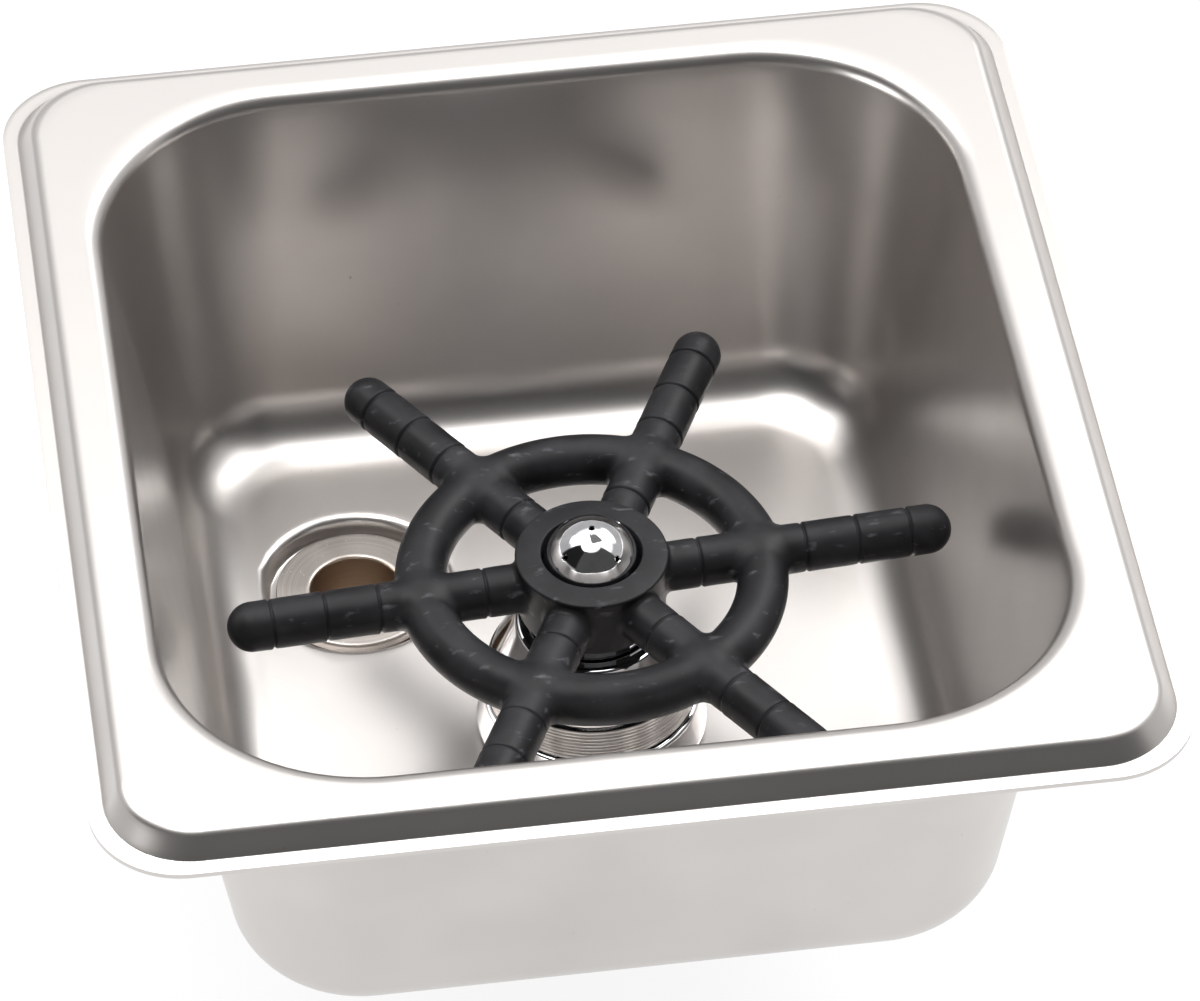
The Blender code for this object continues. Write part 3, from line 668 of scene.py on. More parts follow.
@dataclass(frozen=True)
class MouldedRubber(Finish):
    """Black rubber from a matt mould.

    The eye gets a soft dark grey sheen, a fine grain, and paler rubbed patches and scuffs on top.
    """

    paler: str = "58585C"
    patch: float = 9 * MM
    patch_share: float = 0.16
    patch_levels: Levels = (0.40, 0.75)
    scuff: float = 1.6 * MM
    scuff_share: float = 0.85
    scuff_levels: Levels = (0.62, 0.80)
    scuff_stretch: float = 2.5
    smoother: float = 0.05
    rougher: float = 0.07
    grain: float = 0.25 * MM
    grain_depth: float = 0.02 * MM
    grain_strength: float = 0.45

    def detail(self, tree: Tree, place: Node) -> Details:
        """Patches and scuffs lighten the colour, and the mould's grain raises the surface.

        Args:
            tree: The node tree.
            place: The Texture Coordinate node.

        Returns:
            What feeds the shader's colour, roughness and normal.
        """
        worn = self.pattern(tree, place, self.patch, 0, self.patch_share, self.patch_levels, finer_layers=5)
        rubbed = self.pattern(tree, place, self.scuff, 0, self.scuff_share, self.scuff_levels,
                              self.scuff_stretch, finer_layers=4)
        grain = self.pattern(tree, place, self.grain, 0, 1, ALL, finer_layers=2)
        share = node(tree, "ShaderNodeMath", {}, {0: (worn, 0), 1: (rubbed, 0)}, operation="ADD")
        colour = self.tinted(tree, (self.paler, share))
        rough = self.pattern(tree, place, self.patch, self.roughness - self.smoother,
                             self.roughness + self.rougher, finer_layers=5)
        raised = node(tree, "ShaderNodeBump", {"Distance": self.grain_depth, "Strength": self.grain_strength},
                      {"Height": (grain, 0)})
        return {"Base Color": colour, "Roughness": (rough, 0), "Normal": (raised, 0)}


@dataclass(frozen=True)
class Moulding(Finish):
    """A plain moulded or punched material: seal rubber, nylon or fibre.

    The eye gets a slightly uneven colour and a fine grain.
    """

    paler: str = "808080"
    patch: float = 2.5 * MM
    patch_change: float = 0.06
    grain: float = 0.2 * MM
    grain_depth: float = 0.02 * MM
    grain_strength: float = 0.40

    def detail(self, tree: Tree, place: Node) -> Details:
        """Soft patches mix the two colours, and the grain raises the surface.

        Args:
            tree: The node tree.
            place: The Texture Coordinate node.

        Returns:
            What feeds the shader's colour, roughness and normal.
        """
        share = self.pattern(tree, place, self.patch, 0, 1, finer_layers=5)
        grain = self.pattern(tree, place, self.grain, 0, 1, ALL)
        colour = self.tinted(tree, (self.paler, share))
        rough = node(tree, "ShaderNodeMapRange", {"To Min": self.roughness - self.patch_change,
                                                  "To Max": self.roughness + self.patch_change},
                     {"Value": (share, 0)})
        raised = node(tree, "ShaderNodeBump", {"Distance": self.grain_depth, "Strength": self.grain_strength},
                      {"Height": (grain, 0)})
        return {"Base Color": colour, "Roughness": (rough, 0), "Normal": (raised, 0)}


# The pan

@dataclass
class Pan:
    """The pressed pan: rolled lip, flat rim, drafted walls, filleted floor, drain dish and valve hole."""

    look: Look
    drain: Extent
    valve: Extent
    sheet: float = 0.8 * MM
    depth: float = 65.0 * MM
    lip_flat: float = 2.3 * MM
    lip_bend: float = 0.4 * MM
    step_width: float = 2.6 * MM
    rim_bend: float = 2.2 * MM
    rim_border: float = 10.3 * MM
    mouth_bend: float = 3.1 * MM
    floor_fillet: float = 11.2 * MM
    draft: float = math.radians(9.9)
    lip_corner: float = 13.8 * MM
    rim_corner: float = 11.2 * MM
    mouth_corner: float = 34.0 * MM
    floor_corner: float = 18.7 * MM
    fillet_corner_share: float = 0.75
    dish_mouth: float = 15.2 * MM
    dish_land: float = 4 * MM
    dish_floor: float = 14.3 * MM
    dish_edge: float = 1.6 * MM
    dish_heel: float = 0.5 * MM
    dish_depth: float = 3.3 * MM
    drain_hole: float = 10.6 * MM
    valve_hole: float = 13.4 * MM
    hole_room: float = 0.97
    cut_edge: float = 0.3 * MM
    cut_edge_turn: float = math.radians(60)
    cut_edge_steps: int = 3
    rim_mesh: float = 1.0 * MM
    rim_steps: int = 9
    border_steps: int = 8
    mouth_steps: int = 12
    wall_steps: int = 26
    fillet_steps: int = 20
    dish_steps: int = 8
    floor_steps: int = 14
    middle_steps: int = 32
    corner_steps: int = 22
    side_steps: int = 18

    def __post_init__(self) -> None:
        """Take the outside sizes from the CAD basin."""
        low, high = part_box("basin")
        self.width, self.length, self.top = high.x - low.x, high.y - low.y, high.z
        self.floor = self.top - self.depth + self.sheet

    def profile(self) -> np.ndarray:
        """The upper surface from the lip's edge to the floor.

        Each bend is an arc, the walls fall at the draft angle, and the corner radius changes evenly with the
        inset over the rim, one for one over the mouth, and at its own rate over the floor's fillet.

        Returns:
            Rows of (inset, height, corner radius).
        """
        step = rounded(((0, self.sheet, 0), (self.lip_flat, self.sheet, self.lip_bend),
                        (self.lip_flat + self.step_width, self.top, self.rim_bend),
                        (self.rim_border, self.top, 0)), self.rim_steps)
        mouth_middle = (self.rim_border, self.top - self.mouth_bend)
        mouth = arc(mouth_middle, self.mouth_bend, math.pi / 2, self.draft, self.mouth_steps)
        fall = mouth[-1, 1] - self.floor - self.floor_fillet * (1 - math.sin(self.draft))
        wall_end = mouth[-1, 0] + fall * math.tan(self.draft)
        fillet_middle = (wall_end + self.floor_fillet * math.cos(self.draft), self.floor + self.floor_fillet)
        fillet = arc(fillet_middle, self.floor_fillet, math.pi + self.draft, FULL_TURN * 3 / 4,
                     self.fillet_steps)
        outside = finer(step[:-1], self.rim_mesh)
        change = self.rim_corner - self.lip_corner
        outside_corner = self.lip_corner + change * outside[:, 0] / outside[-1, 0]
        mouth_corner = self.mouth_corner - (mouth[:, 0] - self.rim_border)
        fillet_corner = self.floor_corner - (fillet[:, 0] - wall_end) * self.fillet_corner_share
        outside, mouth, fillet = (np.column_stack(rows) for rows in (
            (outside, outside_corner), (mouth, mouth_corner), (fillet, fillet_corner)))
        return np.vstack((outside, self.between(outside[-1], mouth[0], self.border_steps),
                          mouth, self.between(mouth[-1], fillet[0], self.wall_steps), fillet))

    @staticmethod
    def between(start: Sequence[float], end: Sequence[float], steps: int) -> np.ndarray:
        """The evenly spaced rows strictly between two rows."""
        return np.linspace(start, end, steps + 1)[1:-1]

    def outline(self, rows: np.ndarray) -> np.ndarray:
        """Rounded rectangles, one for each row of the profile, run anticlockwise from the right-hand side.

        Each corner is a quarter circle about (half width - radius, half length - radius), and straight sides
        of even steps join them.

        Args:
            rows: Rows of (inset, height, corner radius).

        Returns:
            A grid of points, row by place along the outline.
        """
        inset, height, radius = rows[:, :1], rows[:, 1:2], rows[:, 2:3]
        half_x, half_y = self.width / 2 - inset, self.length / 2 - inset
        corners = []
        for quarter, (side_x, side_y) in enumerate(((1, 1), (-1, 1), (-1, -1), (1, -1))):
            turn = (quarter + np.linspace(0, 1, self.corner_steps + 1)) * math.pi / 2
            corners.append(np.stack((side_x * (half_x - radius) + radius * np.cos(turn),
                                     side_y * (half_y - radius) + radius * np.sin(turn)), axis=-1))
        share = self.between(0, 1, self.side_steps)[:, None]
        pieces = []
        for corner, after in zip(corners, corners[1:] + corners[:1]):
            pieces += [corner, corner[:, -1:] * (1 - share) + after[:, :1] * share]
        plan = np.concatenate(pieces, axis=1)
        return np.concatenate((plan, np.broadcast_to(height[..., None], (*plan.shape[:2], 1))), axis=-1)

    def floor_parts(self, ring: np.ndarray) -> list[np.ndarray]:
        """The floor as two ruled surfaces, one round each hole, that share a straight line halfway.

        Args:
            ring: The outline where the fillet meets the floor.

        Returns:
            The two grids, edge to hole, the drain's first, which goes on down into the dish.
        """
        drain, valve = np.array(self.drain.centre), np.array(self.valve.centre)
        side = (ring[:, :2] - (drain + valve) / 2) @ (drain - valve) > 0
        start = int(np.argmax(side & ~np.roll(side, 1)))
        ring, side = np.roll(ring, -start, axis=0), np.roll(side, -start)
        end = int(np.argmin(side))
        share = self.between(0, 1, self.middle_steps)[:, None]
        line = ring[end] * (1 - share) + ring[0] * share
        near_drain = np.vstack((ring[:end + 1], line))
        near_valve = np.vstack((ring[end:], ring[:1], line[::-1]))
        cut = np.array([(self.valve_hole + self.sheet, self.floor), (self.valve_hole, self.floor)])
        return [self.ruled(near_drain, drain, self.dish_profile()), self.ruled(near_valve, valve, cut)]

    def dish_profile(self) -> np.ndarray:
        """The drain's dish from the floor's edge down to its hole: a rounded edge, a steep wall and a flat.

        Returns:
            Rows of (radius, height), without the floor's land, which only gives the rounded edge its way.
        """
        bottom = self.floor - self.dish_depth
        corners = ((self.drain_hole, bottom, 0), (self.dish_floor, bottom, self.dish_heel),
                   (self.dish_mouth, self.floor, self.dish_edge),
                   (self.dish_mouth + self.dish_land, self.floor, 0))
        return rounded(corners, self.dish_steps)[-2::-1]

    def ruled(self, edge: np.ndarray, centre: np.ndarray, profile: np.ndarray) -> np.ndarray:
        """A grid from a closed edge to a circle, carried on along a profile of (radius, height) rows.

        A point goes evenly from the edge to the circle's point in the same direction. Where the edge comes
        nearer than the outermost row, the rows are drawn in by u^3 of the lack of room, with u from 0 at the
        hole to 1 at that row, so the hole stays round and no row passes the edge.

        Args:
            edge: The closed edge, point by point.
            centre: The hole's centre.
            profile: Rows of (radius, height), outermost first.

        Returns:
            The grid of points, from the edge to the hole.
        """
        away = edge[:, :2] - centre
        reach = np.hypot(*away.T)
        away /= reach[:, None]
        lack = np.maximum(0, profile[0, 0] - reach * self.hole_room)
        drawn = ((profile[:, 0] - profile[-1, 0]) / (profile[0, 0] - profile[-1, 0])) ** 3
        rings = [np.column_stack((centre + away * (radius - lack * share)[:, None],
                                  np.full(len(edge), height)))
                 for (radius, height), share in zip(profile, drawn)]
        share = np.linspace(0, 1, self.floor_steps + 1)[:-1, None, None]
        return np.concatenate((edge[None] * (1 - share) + rings[0][None] * share, np.stack(rings)))

    def build(self) -> None:
        """Loft the sheet's upper surface, thicken it downwards and soften its cut edges."""
        rings = self.outline(self.profile())
        shell = Shell("basin_pressing").add(rings, round_columns=True)
        for part in self.floor_parts(rings[-1]):
            shell.add(part, round_columns=True)
        piece = shell.make(up=(0.0, 0.0))
        wall = piece.modifiers.new("sheet", "SOLIDIFY")
        wall.thickness = self.sheet
        wall.offset = -1
        wall.use_even_offset = True
        edge = piece.modifiers.new("cut_edge", "BEVEL")
        edge.width = self.cut_edge
        edge.segments = self.cut_edge_steps
        edge.limit_method = "ANGLE"
        edge.angle_limit = self.cut_edge_turn
        dress(piece, self.look, Body.PAN, "basin")


# Turned and cut pieces

@dataclass
class Lathe:
    """Turns rings, nuts and threaded pieces, each in the place of the CAD node that it stands for."""

    steps: int = ROUND_STEPS
    nut_sink: float = 0.5 * MM
    nut_rows: int = 40

    def turn(self, name: str, stands_for: str, look: Look, profile: np.ndarray,
             thread: Thread | None = None) -> None:
        """Turn a closed profile about its node's axis, and dress the piece.

        Args:
            name: The piece's name.
            stands_for: The CAD node.
            look: The piece's finish.
            profile: Rows of (radius, height), or such rows with a column for each turn.
            thread: The thread cut into it.
        """
        centre = Extent.of(stands_for).centre
        grid = turned(profile, centre, self.steps)
        if thread is not None:
            grid = thread.cut(grid, centre)
        piece = Shell(name).add(grid, round_columns=True, round_rows=True).make()
        dress(piece, look, Body.PAN, stands_for)

    def ring(self, name: str, stands_for: str, look: Look, bore: float, edge: float) -> None:
        """A flat ring that fills its node's height and radius.

        Args:
            name: The piece's name.
            stands_for: The CAD node.
            look: The piece's finish.
            bore: The bore's radius.
            edge: The rounding of its edges.
        """
        seat = Extent.of(stands_for)
        corners = ((bore, seat.high, edge), (seat.radius, seat.high, edge), (seat.radius, seat.low, edge),
                   (bore, seat.low, edge))
        self.turn(name, stands_for, look, rounded(corners))

    def nut(self, name: str, stands_for: str, look: Look, bore: float, flats: float) -> None:
        """A chamfered hexagonal nut with a bore that is countersunk at both ends.

        Args:
            name: The piece's name.
            stands_for: The CAD node.
            look: The piece's finish.
            bore: The bore's radius.
            flats: The width over its flats.
        """
        seat = Extent.of(stands_for)
        levels = np.linspace(seat.low + self.nut_sink, seat.high - self.nut_sink, self.nut_rows)
        rows = np.vstack((spread([(bore, level) for level in levels], self.steps),
                          spread([(bore + self.nut_sink, seat.high)], self.steps),
                          hexagon_rows(flats, seat.low, seat.high, self.steps),
                          spread([(bore + self.nut_sink, seat.low)], self.steps)))
        self.turn(name, stands_for, look, rows)


@dataclass
class WasteOutlet:
    """The waste outlet: a flange in the dish, its threaded tail, and the gasket, washer and nut below."""

    steel: Look
    rubber: Look
    nylon: Look
    lathe: Lathe
    bore: float = 7.3 * MM
    mouth_edge: float = 0.55 * MM
    flange_thick: float = 1.7 * MM
    flange_edge: float = 0.35 * MM
    flange_heel: float = 0.1 * MM
    tail: float = 10.3 * MM
    tail_edge: float = 0.8 * MM
    end_edge: float = 0.3 * MM
    thread_from_flange: float = 3 * MM
    thread_from_end: float = 1 * MM
    play: float = 0.3 * MM
    gasket_edge: float = 0.4 * MM
    washer_edge: float = 0.25 * MM
    nut_flats: float = 30 * MM
    mesh_step: float = 0.25 * MM

    def build(self) -> None:
        """Turn the body and stack what clamps it under the floor."""
        seat = Extent.of("drain_body")
        under = seat.high - self.flange_thick
        corners = ((self.bore, seat.high, self.mouth_edge), (seat.radius, seat.high, self.flange_edge),
                   (seat.radius, under, self.flange_heel), (self.tail, under, 0),
                   (self.tail, seat.low, self.tail_edge), (self.bore, seat.low, self.end_edge))
        thread = Thread(seat.low + self.thread_from_end, under - self.thread_from_flange, self.tail)
        profile = finer(rounded(corners), self.mesh_step)
        self.lathe.turn("drain_fitting", "drain_body", self.steel, profile, thread)
        inner = self.tail + self.play
        self.lathe.ring("drain_gasket_ring", "drain_gasket", self.rubber, inner, self.gasket_edge)
        self.lathe.ring("drain_slip_washer", "drain_washer", self.nylon, inner, self.washer_edge)
        self.lathe.nut("drain_lock_nut", "drain_nut", self.steel, inner, self.nut_flats)


@dataclass
class Valve:
    """What stands on the floor round the valve, and what clamps and feeds it from below.

    Levels within the barrel are measured up from its lower end.
    """

    chrome: Look
    steel: Look
    rubber: Look
    fibre: Look
    lathe: Lathe
    play: float = 0.3 * MM
    crisp_edge: float = 0.2 * MM
    mesh_step: float = 0.25 * MM
    mirror_mesh_step: float = 0.5 * MM
    mirror_steps: int = 8
    edge_steps: int = 3
    # Base flange
    flange_top: float = 17.0 * MM
    flange_shoulder: float = 0.9 * MM
    flange_rim: float = 0.9 * MM
    flange_rim_bend: float = 1.5 * MM
    flange_foot: float = 0.45 * MM
    # Barrel and shank
    ring_count: int = 9
    ring_steps: int = 8
    ring_depth: float = 0.12 * MM
    shank: float = 13.1 * MM
    shank_edge: float = 0.8 * MM
    shank_thread: Levels = (1 * MM, 21 * MM)
    port: float = 5.8 * MM
    port_low: float = 10 * MM
    chamber: float = 7.4 * MM
    chamber_low: float = 12 * MM
    gland: float = 5.3 * MM
    gland_low: float = 17.5 * MM
    well: float = 11.0 * MM
    well_low: float = 26 * MM
    # Cone
    spigot: float = 13.6 * MM
    spigot_length: float = 5.6 * MM
    collar: float = 9.6 * MM
    cone_mouth: float = 11.8 * MM
    cone_mouth_edge: float = 0.75 * MM
    cone_inner_edge: float = 0.25 * MM
    cone_rim: float = 0.7 * MM
    cone_rim_bend: float = 1.2 * MM
    cone_bore: float = 11.5 * MM
    cone_roof: float = 1.8 * MM
    cone_end_edge: float = 0.3 * MM
    # Clamp
    floor_gasket_edge: float = 0.3 * MM
    clamp_gasket_edge: float = 0.45 * MM
    nut_flats: float = 36 * MM
    # Hose adapter
    seal_edge: float = 0.15 * MM
    plug: float = 9.3 * MM
    plug_edge: float = 0.4 * MM
    inlet_bore: float = 6.5 * MM
    inlet_bore_edge: float = 0.3 * MM
    inlet_bore_top: float = 0.5 * MM
    inlet_flats: float = 27 * MM
    inlet_hex: float = 5 * MM
    inlet_thread: float = 10.4 * MM
    inlet_thread_length: float = 12 * MM
    inlet_thread_ends: Levels = (0.5 * MM, 1 * MM)
    inlet_thread_rows: int = 60
    inlet_end_chamfer: float = 0.8 * MM
    inlet_bore_chamfer: float = 0.4 * MM

    def build(self) -> None:
        """Make the stack from the floor up, and then what hangs below."""
        inner = self.shank + self.play
        self.lathe.ring("floor_gasket_ring", "floor_gasket", self.rubber, inner, self.floor_gasket_edge)
        self.flange(inner)
        self.barrel()
        self.cone()
        self.lathe.ring("clamp_gasket_ring", "clamp_gasket", self.rubber, inner, self.clamp_gasket_edge)
        self.lathe.ring("clamp_plate_washer", "clamp_washer", self.steel, inner, self.crisp_edge)
        self.lathe.nut("valve_lock_nut", "valve_nut", self.steel, inner, self.nut_flats)
        self.lathe.ring("inlet_fibre_seal", "inlet_seal", self.fibre, self.plug + self.play, self.seal_edge)
        self.inlet()

    def flange(self, inner: float) -> None:
        """The polished base flange: a low cone with a rounded shoulder and foot.

        Args:
            inner: The radius of its bore.
        """
        seat = Extent.of("base_flange")
        corners = ((inner, seat.high, self.crisp_edge), (self.flange_top, seat.high, self.flange_shoulder),
                   (seat.radius, seat.low + self.flange_rim, self.flange_rim_bend),
                   (seat.radius, seat.low, self.flange_foot), (inner, seat.low, self.crisp_edge))
        profile = finer(rounded(corners, self.mirror_steps), self.mirror_mesh_step)
        self.lathe.turn("base_flange_ring", "base_flange", self.chrome, profile)

    def barrel(self) -> None:
        """The ribbed barrel and its threaded shank, bored through for the plunger.

        The ribs follow depth * |sin(pi * count * share of the barrel's height)| down its outer side.
        """
        seat = Extent.of("valve_body")
        low = Extent.of("base_flange").high + self.play
        share = np.linspace(0, 1, self.ring_count * self.ring_steps + 1)
        ribs = np.abs(np.sin(math.pi * self.ring_count * share))
        side = np.column_stack((seat.radius - self.ring_depth * (1 - ribs),
                                seat.high + (low - seat.high) * share))
        ledge = seat.high - self.spigot_length - self.play
        port, chamber = seat.low + self.port_low, seat.low + self.chamber_low
        gland, well = seat.low + self.gland_low, seat.low + self.well_low
        socket, mouth = self.plug + self.play, self.spigot + self.play
        corners = ((self.shank, low, 0), (self.shank, seat.low, self.shank_edge),
                   (socket, seat.low, self.crisp_edge), (socket, port, 0),
                   (self.port, port, self.crisp_edge), (self.port, chamber, self.crisp_edge),
                   (self.chamber, chamber, 0), (self.chamber, gland, 0),
                   (self.gland, gland, self.crisp_edge), (self.gland, well, self.crisp_edge),
                   (self.well, well, 0), (self.well, ledge, 0),
                   (mouth, ledge, 0), (mouth, seat.high, self.crisp_edge))
        profile = np.vstack((side, finer(rounded(corners, self.edge_steps), self.mesh_step)))
        thread = Thread(seat.low + self.shank_thread[0], seat.low + self.shank_thread[1], self.shank)
        self.lathe.turn("valve_barrel", "valve_body", self.steel, profile, thread)

    def cone(self) -> None:
        """The mirror cone that screws into the barrel and guides the plunger's collar."""
        seat = Extent.of("bonnet")
        foot = seat.low + self.spigot_length
        inner = self.collar + self.play
        roof = seat.high - self.cone_roof
        corners = ((inner, seat.high, self.cone_inner_edge),
                   (self.cone_mouth, seat.high, self.cone_mouth_edge),
                   (seat.radius, foot + self.cone_rim, self.cone_rim_bend),
                   (seat.radius, foot, self.crisp_edge),
                   (self.spigot, foot, 0), (self.spigot, seat.low, self.cone_end_edge),
                   (self.cone_bore, seat.low, self.cone_end_edge), (self.cone_bore, roof, self.crisp_edge),
                   (inner, roof, self.crisp_edge))
        profile = finer(rounded(corners, self.mirror_steps), self.mirror_mesh_step)
        self.lathe.turn("bonnet_cone", "bonnet", self.chrome, profile)

    def inlet(self) -> None:
        """The inlet adapter: a plug in the shank, a hexagon for the spanner and the hose thread."""
        seat = Extent.of("inlet_adapter")
        hex_low = seat.low + self.inlet_thread_length
        hex_high = hex_low + self.inlet_hex
        steps = self.lathe.steps
        upper = rounded(((self.plug, hex_high, 0), (self.inlet_bore, hex_high, 0),
                         (self.inlet_bore, seat.high, self.inlet_bore_edge),
                         (self.plug, seat.high, self.plug_edge)), self.edge_steps)[2:]
        levels = np.linspace(hex_low, seat.low + self.inlet_end_chamfer, self.inlet_thread_rows)
        lower = [(self.inlet_thread, level) for level in levels]
        lower += [(self.inlet_thread - self.inlet_end_chamfer, seat.low),
                  (self.inlet_bore + self.inlet_bore_chamfer, seat.low),
                  (self.inlet_bore, seat.low + self.inlet_bore_chamfer)]
        rows = np.vstack((spread(upper, steps), spread([(self.plug, hex_high)], steps),
                          hexagon_rows(self.inlet_flats, hex_low, hex_high, steps), spread(lower, steps),
                          spread([(self.inlet_bore, seat.high - self.inlet_bore_top)], steps)))
        from_end, from_hex = self.inlet_thread_ends
        thread = Thread(seat.low + from_end, hex_low - from_hex, self.inlet_thread)
        self.lathe.turn("inlet_hose_adapter", "inlet_adapter", self.steel, rows, thread)


# The moving head

@dataclass
class Spider:
    """The black moulded spider: a hub, a ring and six grooved arms in one skin.

    One sixth of it, round one arm along X, is worked out and then turned to the six places. All of it lies on
    the surface where outside() is zero: hub, ring and arm joined with rounded inner corners.
    """

    look: Look
    hub_radius: float = 11.9 * MM
    foot_radius: float = 11.5 * MM
    hub_height: float = 10.7 * MM
    crown: float = 0.4 * MM
    recess: float = 7.85 * MM
    recess_depth: float = 2.6 * MM
    web: float = 3.0 * MM
    socket: float = 8.5 * MM
    bore: float = 4.3 * MM
    hub_edge: float = 0.40 * MM
    recess_edge: float = 0.22 * MM
    recess_heel: float = 0.25 * MM
    socket_heel: float = 0.2 * MM
    socket_edge: float = 0.3 * MM
    foot_edge: float = 0.35 * MM
    arm_count: int = 6
    arm_turn: float = math.radians(3.5)
    arm_radius: float = 3.9 * MM
    reach: float = 57.1 * MM
    arm_drop: float = 5.3 * MM
    ring_radius: float = 26.5 * MM
    ring_tube: float = 4.0 * MM
    ring_corner: float = 1.3 * MM
    hub_corner: float = 0.9 * MM
    hub_collar_end: float = 13.2 * MM
    inner_collar: float = 1.9 * MM
    outer_collar: float = 0.1 * MM
    groove_count: int = 5
    groove_from_tip: float = 6.8 * MM
    groove_from_hub: float = 5.0 * MM
    groove_depth: float = 0.28 * MM
    groove_width: float = 0.24 * MM
    groove_step: float = 0.09 * MM
    step_length: float = 1.7 * MM
    groove_zone: float = 0.9 * MM
    groove_rows: int = 24
    shaft_mesh: float = 0.9 * MM
    edge_steps: int = 16
    side_steps: int = 10
    hub_rows: int = 10
    hub_collar_rows: int = 8
    ring_collar_rows: int = 14
    ring_rows: int = 26
    tip_steps: int = 16
    profile_steps: int = 6
    march_steps: int = 60
    sharp: float = math.radians(60)

    def __post_init__(self) -> None:
        """Take the place from the CAD nodes, and work out the grooves and the turns round an arm."""
        self.centre = Extent.of("nozzle").centre
        self.low = Extent.of("spider").low
        self.high = self.low + self.hub_height
        self.level = self.high - self.arm_drop
        first = self.reach - self.groove_from_tip
        last = self.hub_radius + self.groove_from_hub
        self.grooves = np.linspace(first, last, self.groove_count)
        self.around = 2 * (self.edge_steps + self.side_steps)
        self.index = np.arange(self.around) - self.side_steps // 2
        turns = self.index * FULL_TURN / self.around
        self.cos, self.sin = np.cos(turns), np.sin(turns)

    @staticmethod
    def joined(first: np.ndarray, second: np.ndarray, corner: float) -> np.ndarray:
        """How far points lie outside two shapes that are joined with a round inner corner of a radius."""
        # max(corner, min(first, second)) - length of (max(corner - first, 0), max(corner - second, 0))
        near = np.hypot(np.maximum(corner - first, 0), np.maximum(corner - second, 0))
        return np.maximum(corner, np.minimum(first, second)) - near

    def hub_at(self, z: np.ndarray) -> np.ndarray:
        """The hub's outer radius at a height above the arms: even from foot to top."""
        share = (z + self.level - self.low) / self.hub_height
        return self.foot_radius + (self.hub_radius - self.foot_radius) * share

    def outside(self, x: np.ndarray, y: np.ndarray, z: np.ndarray) -> np.ndarray:
        """How far points lie outside the skin: outside an upright cone, a ring and a round bar, all joined.

        Args:
            x: The way along the arm from the hub's axis.
            y: The way across it.
            z: The height above the arms' level.

        Returns:
            The distances, negative inside.
        """
        away = np.hypot(x, y)
        hub = away - self.hub_at(z)
        ring = np.hypot(away - self.ring_radius, z) - self.ring_tube
        arm = np.hypot(y, z) - self.arm_radius
        return np.minimum(self.joined(arm, ring, self.ring_corner), self.joined(arm, hub, self.hub_corner))

    def march(self, path: Callable[[np.ndarray], np.ndarray], shape: tuple[int, ...]) -> np.ndarray:
        """Follow paths outwards to the skin: each step goes on by how far the point is still inside.

        Args:
            path: A function from distances to points, rows of (x, y, z) stacked last.
            shape: The shape of the array of distances.

        Returns:
            The points on the skin.
        """
        distance = np.zeros(shape)
        for _ in range(self.march_steps):
            distance = distance - self.outside(*np.moveaxis(path(distance), -1, 0))
        return path(distance)

    def bent(self, along: np.ndarray, away: np.ndarray, z: np.ndarray) -> np.ndarray:
        """Points given by their way along the ring from the arm, out from the ring's line, and z."""
        radius, turn = self.ring_radius + away, along / self.ring_radius
        return np.stack((radius * np.cos(turn), radius * np.sin(turn), z), axis=-1)

    def crossing(self, along: np.ndarray, away: np.ndarray) -> np.ndarray:
        """A seam where arm and ring meet: where the way along the ring equals the way out from it.

        Args:
            along: The share of each path that goes along the ring.
            away: The share that goes out from the ring's line.

        Returns:
            The seam's points.
        """
        size = np.sqrt(along ** 2 + away ** 2 + self.sin ** 2)
        return self.march(lambda t: self.bent(t * along / size, t * away / size, t * self.sin / size),
                          along.shape)

    def hub_seam(self) -> np.ndarray:
        """The seam where arm and hub meet: out from their sharp corner along the half-way line to the skin.

        Returns:
            The seam's points.
        """
        start = np.sqrt(self.hub_at(self.arm_radius * self.sin) ** 2 - (self.arm_radius * self.cos) ** 2)
        half = math.sqrt(0.5)

        def path(t: np.ndarray) -> np.ndarray:
            """Points at distance t from the sharp corner."""
            radius = self.arm_radius + t * half
            return np.stack((start + t * half, radius * self.cos, radius * self.sin), axis=-1)

        return self.march(path, self.cos.shape)

    def collar(self, seam: np.ndarray, end: float, rows: int) -> np.ndarray:
        """The arm's skin from a seam to a flat section.

        Each column goes evenly from its seam point's x to the end's, and its direction turns evenly, too.

        Args:
            seam: The seam's points.
            end: The x of the flat section.
            rows: The number of steps.

        Returns:
            A grid, seam to end.
        """
        share = np.linspace(0, 1, rows + 1)[:, None]
        x = seam[:, 0] + share * (end - seam[:, 0])
        length = np.hypot(seam[:, 1], seam[:, 2])
        y = seam[:, 1] / length * (1 - share) + self.cos * share
        z = seam[:, 2] / length * (1 - share) + self.sin * share
        size = np.hypot(y, z)
        return self.march(lambda t: np.stack((x, t * y / size, t * z / size), axis=-1), x.shape)

    def arm_radius_at(self, x: np.ndarray) -> np.ndarray:
        """The arm's radius along its length.

        Each groove takes depth * exp(-(offset / width)^2), and a step of (1 - |offset| / length)^2 stands up
        on its outer side and sinks on its inner side.

        Args:
            x: Places along the arm.

        Returns:
            The radius at each.
        """
        offset = x[:, None] - self.grooves[None]
        notch = self.groove_depth * np.exp(-(offset / self.groove_width) ** 2)
        ramp = np.clip(1 - np.abs(offset) / self.step_length, 0, 1) ** 2
        step = self.groove_step * np.tanh(offset / (self.groove_width / 2)) * ramp
        return self.arm_radius + (step - notch).sum(axis=1)

    def shaft(self, start: float, end: float) -> np.ndarray:
        """The straight arm between two sections, with close rows at its grooves.

        Args:
            start: The inner section's x.
            end: The outer section's x.

        Returns:
            A grid, start to end.
        """
        rows = [np.linspace(start, end, int((end - start) / self.shaft_mesh) + 2)]
        for groove in self.grooves:
            if start < groove < end:
                rows.append(groove + np.linspace(-1, 1, self.groove_rows + 1) * self.groove_zone)
        x = np.unique(np.clip(np.concatenate(rows), start, end))
        return self.sections(x, self.arm_radius_at(x))

